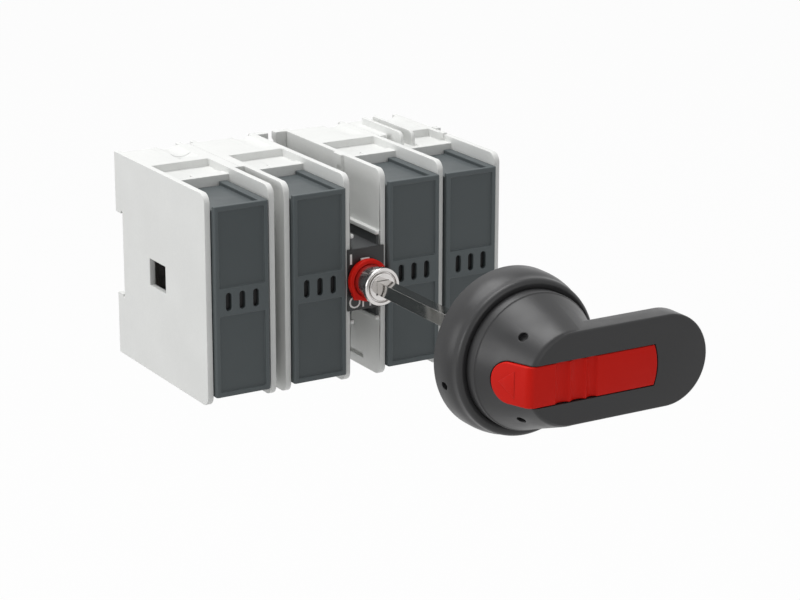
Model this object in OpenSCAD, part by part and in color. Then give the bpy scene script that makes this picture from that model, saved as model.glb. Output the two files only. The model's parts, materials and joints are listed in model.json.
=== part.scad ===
// Four-pole fuse switch disconnector with a door handle on an extended shaft.
// Frame: the origin is where the shaft axis meets the wall. +X is to the right
// seen from the front, +Y points into the wall and +Z up. "Depth" values count
// back from the front edges of the side plates, so a negative depth is in front.

/* [Housing] */
// Height of the side plates
housing_h = 95; // [92:1:110]
// Depth of the side plates
housing_d = 90.7; // [90:0.1:110]
// Thickness of a side plate
plate_t = 2.8; // [2.4:0.1:3.2]
// Height of the shaft axis above the bottom edge
axis_h = 46.6; // [46:0.1:48]
// Radius of a plate's front corners
corner_r = 4.5; // [2:0.5:8]
// Width between the plates of one pole
cavity_w = 27; // [27:0.5:34]
// Extra width beside the first carrier
first_extra = 0.9; // [0:0.1:3]
// Open gap between the first two poles
pole_gap = 4.6; // [2:0.1:10]
// Gap that holds the mechanism
mech_gap = 15.2; // [15.2:0.1:22]
// Wall thickness of the rear blocks
wall = 2; // [1.5:0.1:3]
// Depth at which the rear blocks start
block_d = 37; // [37:0.5:45]
// Depth at which the blocks reach full height
step_d = 57; // [55:0.5:62]
// Drop of the block's front shelf below full height
shelf_drop = 3.6; // [2:0.1:5]
// Height of the raised bar on the shelf
bar_rise = 0.9; // [0.4:0.1:2]
// Length of the raised bar along the depth
bar_d = 6.4; // [3:0.1:10]
// Distance of the block's back from the wall
back_gap = 3.5; // [2:0.1:5]

/* [Rail recess] */
// Height of the recess for a 35 mm rail
rail_h = 38; // [36:0.5:40]
// Depth of the rail recess
rail_d = 7; // [6:0.5:9]
// Bottom of the recess below the shaft axis
rail_low = 17.6; // [17:0.1:19]

/* [Fuse carriers] */
// How far a carrier ends below each edge of the housing
carrier_rim = 4.8; // [2.5:0.1:5]
// Clearance between a carrier and each plate
carrier_gap = 0.3; // [0.2:0.1:0.6]
// How far a carrier stands in front of the plates
carrier_proud = 2.4; // [1:0.1:5]
// How far the carriers' centre lies below the housing's middle
carrier_low = 0.6; // [0.3:0.1:0.9]
// Wall thickness of a carrier
carrier_wall = 1.6; // [1.2:0.1:2]
// Frame around the recessed front panels
panel_frame = 2.3; // [1.5:0.1:4]
// Depth of the front panels
panel_depth = 0.9; // [0.4:0.1:1.2]
// Half height of the band between the panels
band_half = 6.3; // [5.5:0.1:9]
// Width of a window slot
slot_w = 2.7; // [1.5:0.1:4]
// Height of a window slot
slot_h = 8; // [5:0.5:10]
// Spacing of the window slots
slot_pitch = 6.6; // [5:0.1:7.5]
// Width of the raised rail on the carrier's top
rail_w = 4; // [2:0.5:6]
// Depth of the pocket in the carrier's top
pocket = 1.8; // [1:0.1:1.9]

/* [Fuse links] */
// How far a fuse link ends below each end of its carrier
link_rim = 3.45; // [3.4:0.05:4.5]
// Width of the ceramic body
link_w = 20.6; // [18:0.1:20.8]
// Height of the ceramic body
link_body_h = 50; // [40:1:52]
// Thickness of a blade
blade_t = 6; // [5:0.5:6]
// Width of a blade along the depth
blade_d = 15; // [12:0.5:16]

/* [Handle] */
// Distance from the plates' front to the door
door_gap = 114.6; // [80:0.1:300]
// Outer radius of the door ring
ring_r = 34.65; // [34.65:0.05:45]
// Height of the door ring in front of the door
ring_h = 17.8; // [17:0.1:22]
// Height of the lever's face in front of the door
face_h = 46.8; // [44:0.1:60]
// Thickness of the lever
lever_t = 11.15; // [9:0.05:14]
// Half width of the lever
lever_r = 19.3; // [18:0.1:24]
// Distance from the shaft axis to the lever's tip
lever_len = 65.9; // [60:0.1:95]
// Radius of the cone at the lever's face
cone_top_r = 17.3; // [16:0.1:18]
// Width of the square shaft
shaft_w = 6; // [5:0.5:6]
// Half width of the lock slide
slide_half = 8.65; // [7:0.05:10]
// Distance from the axis to the lock slide's far end
slide_end = 41.5; // [36:0.1:46]

/* [Mechanism] */
// Teeth of the drive pinion
pinion_teeth = 10; // [10:1:10]
// Module of the pinion and the rack
gear_module = 1; // [0.9:0.05:1]
// How far the contact bar's centre lies behind the blocks' inner front
slide_in = 8.9; // [8.5:0.1:9.4]
// How far the contact bar's centre lies below the housing's middle
slide_low = 0.4; // [0:0.1:0.9]
// Thickness of a bridge blade
bridge_t = 1.5; // [1:0.1:2]
// Height of the bridge blades above the carriers' centre
bridge_z = 13.5; // [13:0.1:15]

/* [Mounting] */
// Distance between the two mounting holes
hole_pitch = 85; // [80:0.5:85]
// Radius of a mounting hole
hole_r = 2.9; // [2.6:0.05:3]
// Spacing of the door screws
door_pitch = 36; // [32:0.5:38]
// Radius of a door screw hole
door_hole_r = 1.65; // [1.2:0.05:2]

/* [Hidden] */
$fn = 96;
eps = 0.01;
cut = 1;

// Heights and depths in the part's frame
bottom_z = -axis_h;
top_z = housing_h - axis_h;
mid_z = (top_z + bottom_z) / 2;
carrier_z = mid_z - carrier_low;
carrier_h = housing_h - 2 * carrier_rim;
link_h = carrier_h - 2 * link_rim;
slide_z = mid_z - slide_low;
function y_at(depth) = depth - housing_d;

// Where each pole's cavity starts and how wide it is, from left to right
mech_half = mech_gap / 2;
cavity_x = [
    -mech_half - 3 * plate_t - 2 * cavity_w - first_extra - pole_gap,
    -mech_half - plate_t - cavity_w,
    mech_half + plate_t,
    mech_half + 2 * plate_t + cavity_w
];
function cavity_width(n) = n == 1 ? cavity_w + first_extra : cavity_w;
function cavity_left(n) = cavity_x[n - 1];
function cavity_right(n) = cavity_left(n) + cavity_width(n);
function pole_x(n) = cavity_left(n) + carrier_gap + carrier_w / 2;
carrier_w = cavity_w - 2 * carrier_gap;

// Rear block and its chamber
chamber_d = block_d + wall;
slide_d = chamber_d + slide_in;
block_back = housing_d - back_gap;
chamber_back = housing_d - rail_d - wall - 1;
chamber_top = top_z - shelf_drop - wall;
chamber_low = bottom_z + shelf_drop + wall;
bar_start = 11.7;
window_d = 16;
window_h = 12.4;
bridge_flange_d = 36.5;
rail_lip = 1.2;
rail_lip_d = 1.6;

// Scoops along the tops of the rear blocks
scoop_w = 9;
scoop_r = 8;
scoop_x = 21.4;
scoop_front = 62.4;
scoop_step = 71.7;
scoop_drop = 0.5;

// Fuse link, seen from its carrier
carrier_back = block_d - carrier_gap;
link_front = 0.3;
link_back = 33;
blade_front = link_back - blade_d + cut;
link_plate_t = 2;
cavity_half = link_h / 2 + 0.2;
rib_t = (carrier_w - link_w) / 2 - carrier_wall - 0.3;
rib_h = 8;

// Jaws that hold the blades
leaf_gap = 0.05;
leaf_t = 1.5;
leaf_x = blade_t / 2 + leaf_gap;
jaw_front = blade_front + 1.5;
jaw_low = link_body_h / 2 + link_plate_t + 1;
jaw_high = link_h / 2 - 1;
jaw_window = leaf_x + leaf_t + 0.4;

// Bridge blades, forks and terminals, counted from the pole's centre
strip_t = 1.8;
fork_x = -8;
fork_w = 5.5;
fork_half = 2.7;
fork_slot = bridge_t / 2 + 0.15;
front_fork_d = chamber_d;
fork_d = 4;
rear_fork_d = slide_d + (slide_d - front_fork_d) - fork_d;
bridge_x = 1;
bridge_w = 5.5;
terminal_room = 7.9;
terminal_z = housing_h / 2 - shelf_drop - wall - terminal_room;
terminal_t = 2.5;
terminal_half = 6;
terminal_back = chamber_back;
terminal_screw_d = (rear_fork_d + fork_d - strip_t + terminal_back) / 2;
terminal_hole_r = 3.1;
screw_r = 3;
screw_head_r = 5;
screw_head_h = 4;
screw_len = 5;
hex_af = 5;

// Sliding contact bar
bar_w = 9;
bar_h = 9;
bar_run = 0.2;
pitch_r = pinion_teeth * gear_module / 2;
dedendum = gear_module;
slide_travel = PI / 2 * pitch_r;
post_w = 4;
post_d = 6;
leg_w = 3;
leg_left = mech_half + plate_t + 0.8;
leg_right = leg_left + slide_travel + 0.4;
rack_low = pitch_r + dedendum;
bar_low = -rack_low - bar_h / 2;
bar_bottom = min(bar_low, slide_z - bar_h / 2);
bar_left_end = cavity_left(1) + slide_travel + 0.2;
bar_right_end = cavity_right(4) - 4;

// Pinion and rack teeth
pressure = 25;
addendum = 0.8 * gear_module;
backlash = 0.12;
base_r = pitch_r * cos(pressure);
pinion_d0 = slide_d - bar_w / 2 + 0.3;
pinion_len = bar_w - 0.6;

// Rails and cheeks beside the mechanism
rib_half = 0.95;
rib_out = 2;
cheek_top = 19;
cheek_low = 18.4;
cheek_t = 1.2;
cheek_front = 1;
groove_d = 1.6;
groove_front = 15.3;
groove_up = 4.3;
groove_h = 2.2;

// Fins, pegs and snap post along the top
fin_x = [4.3, 10.1];
fin_t = 1.7;
fin_rise = 3.3;
fin_r = 3.8;
fin_front = 44;
fin_back = 80.2;
peg_len = 4;
peg_h = 1.8;
peg_rise = 0.8;
peg_front = 52.9;
hook_front = 42.9;
post_front = 32.2;
post_len = 7.5;
post_h = 7.7;
post_hole = 2.1;

// Mechanism housing and label
mech_wall = 1.5;
mech_up = 14.4;
mech_down = 13.8;
mech_top = max(mech_up, slide_z + window_h / 2 + mech_wall);
mech_low = min(-mech_down, bar_bottom - bar_run - mech_wall);
mech_back = chamber_back - wall;
mech_front_wall = 3;
label_t = 0.8;
label_over = 1.6;
spindle_r = 4.9;
spindle_gap = 0.5;
bearing_gap = 0.05;
tip_r = 2.4;
tip_len = 6;
square_w = 5;

// Collar and indicator, in front of the label
collar_front = 15.7;
collar_r = 8.6;
collar_flange = 2.6;
neck_r = 7.5;
indicator_r = 9.6;
indicator_back = 0.95;
indicator_t = 3.2;
pointer_r = 11.3;
pointer_t = 1.4;
shaft_in = 8;
collar_screw_r = 2;
sleeve_r = 4.75;
sleeve_len = 7.2;

// Door ring and handle, in heights in front of the door
ring_wall = 3.45;
ring_bore = ring_r - ring_wall;
ring_back = 5.5;
hub_bore = 11.9;
clip_recess_r = 16;
clip_recess = 2.5;
skirt_gap = 0.4;
skirt_r = ring_bore - skirt_gap;
skirt_low = 9;
skirt_high = 15.2;
cone_base_r = 28.8;
hub_neck_r = hub_bore - skirt_gap;
edge_r = 1.6;
lever_left = 2.8;
lever_x = lever_len - lever_r;
seal_in = 25;
seal_out = 29.5;
seal_t = 1.5;
boss_r = 3.8;
cone_hole_r = 1.3;
cone_hole_out = 5.2;
cone_hole_down = 12.8;
slide_gap = 0.35;
slide_t = 3.2;
kink_x = cone_top_r;
nose_angle = atan((face_h - skirt_high) / (cone_base_r - cone_top_r));
nose_len = 12.5;
nose_over = 6;
nose_ease = 0.04;
slide_arc = 1.5;
web_half = 2;
web_len = 20;
web_drop = 9.6;
lock_hole_r = 2.6;

// Rail latch and its spring
latch_w = 8;
latch_t = 1.2;
latch_run = 0.2;
latch_d = housing_d - rail_d + 1.2;
latch_low = 39;
latch_rise = 1.3;
latch_tab = 6;
spring_wire = 0.35;
spring_r = 1.6;
spring_turns = 5;

// Extrudes a depth-height outline along X
module along_x(x0, width) {
    translate([x0, 0, 0]) rotate([90, 0, 90]) linear_extrude(width) children();
}

// A box between two depths
module depth_box(x0, x1, d0, d1, z0, z1) {
    translate([x0, y_at(d0), z0]) cube([x1 - x0, d1 - d0, z1 - z0]);
}

// A round bar along Y between two depths
module depth_rod(r, d0, d1, x = 0, z = 0) {
    translate([x, y_at(d1), z]) rotate([90, 0, 0]) cylinder(r = r, h = d1 - d0);
}

// Places a child whose Z axis points out of the door, away from the wall
module on_door() {
    translate([0, y_at(-door_gap), 0]) rotate([90, 0, 0]) children();
}

// The same piece above and below the carrier's centre
module both_ends() {
    translate([0, 0, carrier_z]) children();
    translate([0, 0, carrier_z]) mirror([0, 0, 1]) children();
}

module rail_recess_outline() {
    translate([y_at(housing_d - rail_d), -rail_low]) square([rail_d + cut, rail_h]);
    translate([y_at(housing_d - rail_d), -rail_low - rail_lip]) square([rail_lip_d, rail_h + 2 * rail_lip]);
}

module plate_outline() {
    difference() {
        union() {
            translate([y_at(corner_r), bottom_z]) square([housing_d - corner_r, housing_h]);
            translate([y_at(0), bottom_z + corner_r]) square([housing_d, housing_h - 2 * corner_r]);
            for (z = [bottom_z + corner_r, top_z - corner_r])
                translate([y_at(corner_r), z]) circle(corner_r);
        }
        rail_recess_outline();
    }
}

module block_outline() {
    difference() {
        union() {
            translate([y_at(block_d), bottom_z + shelf_drop])
                square([block_back - block_d, housing_h - 2 * shelf_drop]);
            translate([y_at(step_d), bottom_z]) square([block_back - step_d, housing_h]);
        }
        rail_recess_outline();
    }
}

module chamber_outline() {
    translate([y_at(chamber_d), chamber_low])
        square([chamber_back - chamber_d, chamber_top - chamber_low]);
}

// Half of a pole's rear block, between two X values, open towards the pole's centre
module half_block(x0, x1) {
    difference() {
        along_x(x0, x1 - x0) block_outline();
        along_x(x0 - eps, x1 - x0 + 2 * eps) chamber_outline();
    }
}

// Running slot for the contact bar through an inner plate
module bar_slot(x0, x1, low) {
    half_d = bar_w / 2 + bar_run;
    depth_box(x0 - cut, x1 + cut, slide_d - half_d, slide_d + half_d,
        low, slide_z + bar_h / 2 + bar_run);
}

// Wide window in an outer plate, where the end of the contact bar shows
module end_window(x0, x1) {
    depth_box(x0 - cut, x1 + cut, slide_d - window_d / 2, slide_d + window_d / 2,
        slide_z - window_h / 2, slide_z + window_h / 2);
}

module jaw_windows(x) {
    both_ends() depth_box(x - jaw_window, x + jaw_window, block_d - cut, chamber_d + cut,
        jaw_low - 1, jaw_high + 1);
}

// A cable scoop along the top and bottom of a block
module scoops(n) {
    x = cavity_left(n) + scoop_x;
    lift = sqrt(scoop_r * scoop_r - scoop_w * scoop_w / 4);
    for (z = [top_z + lift, bottom_z - lift])
        depth_rod(scoop_r, scoop_front, housing_d + cut, x, z);
    if (n == 1) depth_rod(scoop_r + scoop_drop, scoop_front + 0.1, scoop_step, x, top_z + lift);
}

module shelf_bar(x0, x1) {
    for (side = [0, 1]) translate([0, 0, mid_z]) mirror([0, 0, side])
        depth_box(x0, x1, block_d, block_d + bar_d, housing_h / 2 - shelf_drop - eps,
            housing_h / 2 - shelf_drop + bar_rise);
}

// Lip on the left part of a block's shelf, which rises towards the front edge
module shelf_lip(x0, x1) {
    low = housing_h / 2 - shelf_drop;
    for (side = [0, 1]) translate([0, 0, mid_z]) mirror([0, 0, side]) along_x(x0, x1 - x0)
        polygon([
            [y_at(block_d), low - eps], [y_at(block_d), low + bar_rise], [y_at(block_d + bar_d), low - eps]
        ]);
}

// The plates beside the mechanism let the bar's lowered middle through
function slot_low(n, left) =
    (n == 2 && !left) || (n == 3 && left) ? bar_bottom - bar_run : slide_z - bar_h / 2 - bar_run;

// Rails beside the mechanism, with rounded front ends
module guide_ribs(x0, x1) {
    for (z = [cheek_top + rib_half, -cheek_low - rib_half]) along_x(x0, x1 - x0) {
        translate([y_at(rib_half), z - rib_half]) square([step_d, 2 * rib_half]);
        translate([y_at(rib_half), z]) circle(rib_half);
    }
}

// One upright fin on top of the last pole, with a rounded front end
module fin(x0) {
    foot = top_z - shelf_drop - eps;
    along_x(x0, fin_t) {
        translate([y_at(fin_front + fin_r), foot])
            square([fin_back - fin_front - fin_r, top_z + fin_rise - foot]);
        translate([y_at(fin_front), foot]) square([fin_r + eps, top_z + fin_rise - fin_r - foot]);
        translate([y_at(fin_front + fin_r), top_z + fin_rise - fin_r]) circle(fin_r);
    }
}

// A short peg on a plate's top edge, between two X values
module edge_peg(x0, x1, d0) {
    depth_box(x0, x1, d0, d0 + peg_len, top_z - peg_h, top_z + peg_rise);
}

// Snap post on the face of a plate, with its catch hole
module snap_post(x0, x1) {
    difference() {
        depth_box(x0, x1, post_front, post_front + post_len, top_z - post_h, top_z);
        depth_box(x0 - cut, x0 + (x1 - x0) / 2, post_front + 0.6, post_front + 3.8,
            top_z - post_h + 0.3, top_z - post_h + 0.3 + post_hole);
    }
}

module left_shell(n) {
    left = cavity_left(n);
    has_plate = n != 4;
    color("gainsboro") difference() {
        union() {
            if (has_plate) along_x(left - plate_t, plate_t) plate_outline();
            half_block(left - (has_plate ? eps : 0), pole_x(n));
            shelf_bar(left + bar_start, pole_x(n));
            shelf_lip(left - eps, left + bar_start + eps);
            if (n == 2) half_flange(left - plate_t - pole_gap / 2, left - plate_t);
            if (n == 3) {
                guide_ribs(mech_half - rib_out, mech_half + eps);
                snap_post(mech_half - peg_rise - 0.6, mech_half + eps);
            }
            if (n == 4) for (x = fin_x) fin(left + x);
        }
        if (n == 1) end_window(left - plate_t, left);
        else bar_slot(left - plate_t, left, slot_low(n, true));
        if (n == 3) depth_box(left - plate_t - cut, left - plate_t + groove_d, groove_front, step_d,
            bottom_z + groove_up, bottom_z + groove_up + groove_h);
        jaw_windows(pole_x(n));
        scoops(n);
    }
}

module right_shell(n) {
    right = cavity_right(n);
    color("gainsboro") difference() {
        union() {
            along_x(right, plate_t) plate_outline();
            half_block(pole_x(n), right + eps);
            shelf_bar(pole_x(n), right + eps);
            if (n == 1) half_flange(right + plate_t, right + plate_t + pole_gap / 2);
            if (n == 2) guide_ribs(-mech_half - eps, rib_out - mech_half);
            if (n == 3) edge_peg(right + plate_t / 2, right + plate_t + 2.4, peg_front);
            if (n == 4) {
                edge_peg(right + plate_t / 2, right + plate_t + 1.4, peg_front);
                edge_peg(right - 0.8, right + plate_t / 2, hook_front);
            }
        }
        if (n == 4) end_window(right, right + plate_t);
        else bar_slot(right, right + plate_t, slot_low(n, false));
        jaw_windows(pole_x(n));
        scoops(n);
    }
}

// Solid rim of a block that closes the rear of the gap between two poles
module half_flange(x0, x1) {
    difference() {
        along_x(x0, x1 - x0) difference() {
            translate([y_at(bridge_flange_d), bottom_z]) square([block_back - bridge_flange_d, housing_h]);
            rail_recess_outline();
        }
        bar_slot(x0, x1, slide_z - bar_h / 2 - bar_run);
    }
}

module carrier_section() {
    round_r = 1;
    half = carrier_w / 2;
    translate([-half, y_at(-carrier_proud) + round_r]) square([carrier_w, carrier_back + carrier_proud - round_r]);
    translate([-half + round_r, y_at(-carrier_proud)]) square([carrier_w - 2 * round_r, cut + round_r]);
    for (x = [-half + round_r, half - round_r])
        translate([x, y_at(-carrier_proud) + round_r]) circle(round_r);
}

module front_panel() {
    half = carrier_w / 2 - panel_frame;
    depth_box(-half, half, -carrier_proud - cut, -carrier_proud + panel_depth,
        band_half, carrier_h / 2 - panel_frame);
}

module window_slot(x) {
    straight = slot_h - slot_w;
    depth_box(x - slot_w / 2, x + slot_w / 2, -carrier_proud - cut, cut, -straight / 2, straight / 2);
    for (z = [-straight / 2, straight / 2]) depth_rod(slot_w / 2, -carrier_proud - cut, cut, x, z);
}

module fuse_carrier(n) {
    half = carrier_w / 2;
    inner = half - carrier_wall;
    color("#4a5153") translate([pole_x(n), 0, 0]) {
        difference() {
            translate([0, 0, carrier_z - carrier_h / 2]) linear_extrude(carrier_h) carrier_section();
            translate([0, 0, carrier_z]) depth_box(-inner, inner, 0, carrier_back + cut,
                -cavity_half, cavity_half);
            both_ends() front_panel();
            for (i = [-1:1]) translate([0, 0, carrier_z]) window_slot(i * slot_pitch);
            depth_box(-half - cut, half - rail_w, -carrier_proud + wall, carrier_back + cut,
                carrier_z + carrier_h / 2 - pocket, carrier_z + carrier_h / 2 + cut);
        }
        for (x = [-inner - eps, inner + eps - rib_t])
            depth_box(x, x + rib_t, link_front, link_back, carrier_z - rib_h / 2, carrier_z + rib_h / 2);
    }
}

module fuse_link(n) {
    color("ivory") translate([pole_x(n), 0, carrier_z])
        depth_box(-link_w / 2, link_w / 2, link_front, link_back, -link_body_h / 2, link_body_h / 2);
}

module fuse_blades(n) {
    color("silver") translate([pole_x(n), 0, 0]) both_ends() {
        depth_box(-link_w / 2, link_w / 2, link_front, link_back,
            link_body_h / 2, link_body_h / 2 + link_plate_t);
        depth_box(-blade_t / 2, blade_t / 2, blade_front, blade_front + blade_d,
            link_body_h / 2 + link_plate_t - eps, link_h / 2);
    }
}

// A jaw with its tail and the fork that takes the bridge blade
module contact_piece() {
    for (x = [-leaf_x - leaf_t, leaf_x])
        depth_box(x, x + leaf_t, jaw_front, front_fork_d + eps, jaw_low, jaw_high);
    depth_box(fork_x, leaf_x + leaf_t, front_fork_d, front_fork_d + strip_t, jaw_low, jaw_high);
    depth_box(fork_x, fork_x + fork_w, front_fork_d, front_fork_d + strip_t,
        bridge_z + fork_half - eps, jaw_low + eps);
    fork(front_fork_d);
}

module fork(d0) {
    difference() {
        depth_box(fork_x, fork_x + fork_w, d0, d0 + fork_d, bridge_z - fork_half, bridge_z + fork_half);
        depth_box(fork_x - cut, fork_x + fork_w + cut, d0 - cut, d0 + fork_d + cut,
            bridge_z - fork_slot, bridge_z + fork_slot);
    }
    back = d0 == front_fork_d ? d0 : d0 + fork_d - strip_t;
    depth_box(fork_x - strip_t, fork_x + eps, back, back + strip_t,
        bridge_z - fork_half, bridge_z + fork_half);
}

module terminal_piece() {
    back = rear_fork_d + fork_d;
    fork(rear_fork_d);
    depth_box(fork_x, fork_x + fork_w, back - strip_t, back,
        bridge_z + fork_half - eps, terminal_z + eps);
    difference() {
        depth_box(-terminal_half - strip_t, terminal_half, back - strip_t, terminal_back,
            terminal_z, terminal_z + terminal_t);
        translate([0, y_at(terminal_screw_d), terminal_z - cut])
            cylinder(r = terminal_hole_r, h = terminal_t + 2 * cut);
    }
}

module upper_contact(n) {
    color("#c9a27a") translate([pole_x(n), 0, carrier_z]) contact_piece();
}

module lower_contact(n) {
    color("#c9a27a") translate([pole_x(n), 0, carrier_z]) mirror([0, 0, 1]) contact_piece();
}

module upper_terminal(n) {
    color("#b87333") translate([pole_x(n), 0, carrier_z]) terminal_piece();
}

module lower_terminal(n) {
    color("#b87333") translate([pole_x(n), 0, carrier_z]) mirror([0, 0, 1]) terminal_piece();
}

module contact_bridges(n) {
    color("silver") translate([pole_x(n), 0, 0]) both_ends()
        depth_box(bridge_x, bridge_x + bridge_w, front_fork_d + 0.3, rear_fork_d + fork_d - strip_t - 0.3,
            bridge_z - bridge_t / 2, bridge_z + bridge_t / 2);
}

module rack_teeth() {
    pitch = PI * gear_module;
    half = pitch / 4 - backlash / 2;
    lean = tan(pressure);
    first = ceil((-leg_left) / pitch);
    last = floor((leg_right - 1) / pitch);
    for (i = [first:last])
        translate([0, y_at(slide_d + bar_w / 2), -pitch_r]) rotate([90, 0, 0])
            linear_extrude(bar_w) translate([(i + 0.5) * pitch, 0]) polygon([
                [-half - dedendum * lean, -dedendum], [half + dedendum * lean, -dedendum],
                [half - addendum * lean, addendum], [-half + addendum * lean, addendum]
            ]);
}

module contact_bar() {
    d0 = slide_d - bar_w / 2;
    d1 = slide_d + bar_w / 2;
    color("#2f3335") {
        depth_box(bar_left_end, -leg_left, d0, d1, slide_z - bar_h / 2, slide_z + bar_h / 2);
        depth_box(leg_right, bar_right_end, d0, d1, slide_z - bar_h / 2, slide_z + bar_h / 2);
        depth_box(-leg_left - leg_w, -leg_left, d0, d1, bar_low, slide_z);
        depth_box(leg_right, leg_right + leg_w, d0, d1, bar_low, slide_z);
        depth_box(-leg_left - eps, leg_right + eps, d0, d1, bar_low, -rack_low);
        rack_teeth();
        for (n = [1:4], side = [-1, 1]) bridge_post(n, side);
    }
}

module bridge_post(n, side) {
    x = pole_x(n) + bridge_x + (bridge_w - post_w) / 2;
    near = slide_z + side * bar_h / 2 - side * eps;
    far = carrier_z + side * (bridge_z - bridge_t / 2);
    depth_box(x, x + post_w, slide_d - post_d / 2, slide_d + post_d / 2, min(near, far), max(near, far));
}

module terminal_screw() {
    translate([0, y_at(terminal_screw_d), terminal_z + terminal_t]) difference() {
        union() {
            cylinder(r = screw_head_r, h = screw_head_h);
            translate([0, 0, -screw_len]) cylinder(r = screw_r, h = screw_len + eps);
        }
        translate([0, 0, screw_head_h / 2]) cylinder(d = hex_af / cos(30), h = screw_head_h, $fn = 6);
    }
}

module terminal_screws() {
    color("silver") for (n = [1:4], side = [0, 1])
        translate([pole_x(n), 0, carrier_z]) mirror([0, 0, side]) terminal_screw();
}

module mechanism_housing() {
    inner = mech_half - mech_wall;
    tip_d = slide_d + bar_w / 2 + 2 + tip_len;
    color("#55585a") difference() {
        union() {
            depth_box(-mech_half, mech_half, 0, mech_back, mech_low, mech_top);
            for (side = [0, 1]) mirror([side, 0, 0])
                depth_box(mech_half - cheek_t, mech_half, cheek_front, mech_back, -cheek_low, cheek_top);
        }
        difference() {
            depth_box(-inner, inner, mech_front_wall, mech_back - mech_wall,
                mech_low + mech_wall, mech_top - mech_wall);
            depth_rod(tip_r + wall, tip_d - tip_len + 0.5, mech_back);
        }
        depth_rod(spindle_r + bearing_gap, -cut, mech_front_wall + cut);
        depth_rod(tip_r + bearing_gap, 0, tip_d + 0.3);
        depth_box(-mech_half - cut, mech_half + cut, slide_d - window_d / 2, slide_d + window_d / 2,
            mech_low + mech_wall, slide_z + window_h / 2);
    }
}

// Ears that take the two wall screws, joined by a web in front of the rail
module mounting_frame() {
    ear_d = housing_d - 4.4;
    web_back = housing_d - rail_d;
    web_top = rail_h - rail_low + wall + 2;
    web_low = -rail_low - wall - 2;
    hole_z = hole_pitch / 2;
    mouth = 1.3 * hole_r;
    color("whitesmoke") difference() {
        union() {
            depth_box(-mech_half, mech_half, mech_back, web_back, web_low, web_top);
            depth_box(-mech_half, mech_half, ear_d, housing_d, rail_h - rail_low, top_z);
            depth_box(-mech_half, mech_half, web_back - eps, housing_d, rail_h - rail_low, web_top);
            depth_box(-mech_half, mech_half, ear_d, housing_d, bottom_z, -rail_low);
            depth_box(-mech_half, mech_half, web_back - eps, housing_d, web_low, -rail_low);
        }
        along_x(-mech_half - cut, mech_gap + 2 * cut) rail_recess_outline();
        depth_box(-latch_w / 2 - latch_run, latch_w / 2 + latch_run, latch_d - latch_run,
            latch_d + latch_t + latch_run, web_low - cut, -rail_low + cut);
        for (z = [-hole_z, hole_z]) depth_rod(hole_r, ear_d - cut, housing_d + cut, 0, z);
        depth_box(-mouth / 2, mouth / 2, ear_d - cut, housing_d + cut, hole_z, top_z + cut);
        depth_box(-mouth / 2, mouth / 2, ear_d - cut, housing_d + cut, bottom_z - cut, -hole_z);
    }
}

module label_plate() {
    half = mech_half + label_over;
    color("#202325") difference() {
        depth_box(-half, half, -label_t, 0, mech_low, mech_top);
        depth_rod(spindle_r + 0.5, -label_t - cut, cut);
    }
}

module spindle() {
    tip_start = slide_d + bar_w / 2 + 2;
    half = square_w / 2;
    color("silver") {
        depth_rod(spindle_r, -indicator_back, pinion_d0 - spindle_gap);
        depth_box(-half, half, pinion_d0 - spindle_gap - eps, tip_start + eps, -half, half);
        depth_rod(tip_r, tip_start, tip_start + tip_len);
    }
}

// Involute flank point at radius r, as [x, y] for a tooth centred on +Y
function involute_angle(r) =
    let (a = acos(min(1, base_r / r))) tan(a) * 180 / PI - a;
function flank(r, side) =
    let (half = 90 / pinion_teeth - backlash / 4 * 180 / PI / pitch_r
            + involute_angle(pitch_r) - involute_angle(max(r, base_r)))
    [side * r * sin(half), r * cos(half)];

module drive_pinion() {
    root_r = pitch_r - dedendum;
    tip = pitch_r + addendum;
    seat = root_r - 0.3;
    radii = [for (i = [0:5]) seat + i * (tip - seat) / 5];
    back = [for (i = [5:-1:0]) flank(radii[i], 1)];
    front = [for (r = radii) flank(r, -1)];
    color("goldenrod") translate([0, y_at(pinion_d0 + pinion_len), 0]) rotate([90, 0, 0])
        difference() {
            union() {
                cylinder(r = root_r, h = pinion_len);
                for (i = [0:pinion_teeth - 1]) rotate(i * 360 / pinion_teeth)
                    linear_extrude(pinion_len) polygon(concat(front, back));
            }
            translate([0, 0, pinion_len / 2])
                cube([square_w + 0.1, square_w + 0.1, pinion_len + 2 * cut], center = true);
        }
}

module indicator_ring() {
    tip = pointer_r / sqrt(2);
    side = indicator_r * 0.96;
    color("#c4251d") translate([0, y_at(-indicator_back), 0]) rotate([90, 0, 0]) difference() {
        union() {
            cylinder(r = indicator_r, h = indicator_t);
            translate([0, 0, indicator_t - pointer_t]) linear_extrude(pointer_t) polygon([
                [-tip, -tip], [-side * sin(20), -side * cos(20)], [0, 0],
                [-side * cos(20), -side * sin(20)]]);
        }
        translate([0, 0, -cut]) cylinder(r = neck_r, h = indicator_t + 2 * cut);
    }
}

module shaft_collar() {
    half = shaft_w / 2 + 0.05;
    color("#c8ccd0") difference() {
        translate([0, y_at(-indicator_back), 0]) rotate([90, 0, 0]) rotate_extrude() polygon([
            [0, 0], [neck_r, 0], [neck_r, collar_front - indicator_back - collar_flange],
            [collar_r, collar_front - indicator_back - collar_flange],
            [collar_r, collar_front - indicator_back - 0.5],
            [collar_r - 0.5, collar_front - indicator_back],
            [collar_r - 2, collar_front - indicator_back],
            [collar_r - 2, collar_front - indicator_back - 0.8],
            [collar_r - 3, collar_front - indicator_back - 0.8],
            [collar_r - 3, collar_front - indicator_back], [sleeve_r, collar_front - indicator_back],
            [sleeve_r, collar_front - indicator_back + sleeve_len],
            [0, collar_front - indicator_back + sleeve_len]
        ]);
        depth_box(-half, half, -collar_front - sleeve_len - cut, -collar_front + shaft_in, -half, half);
        translate([0, y_at(-collar_front + shaft_in - 3), 0]) cylinder(r = collar_screw_r, h = collar_r + cut);
    }
}

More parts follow.
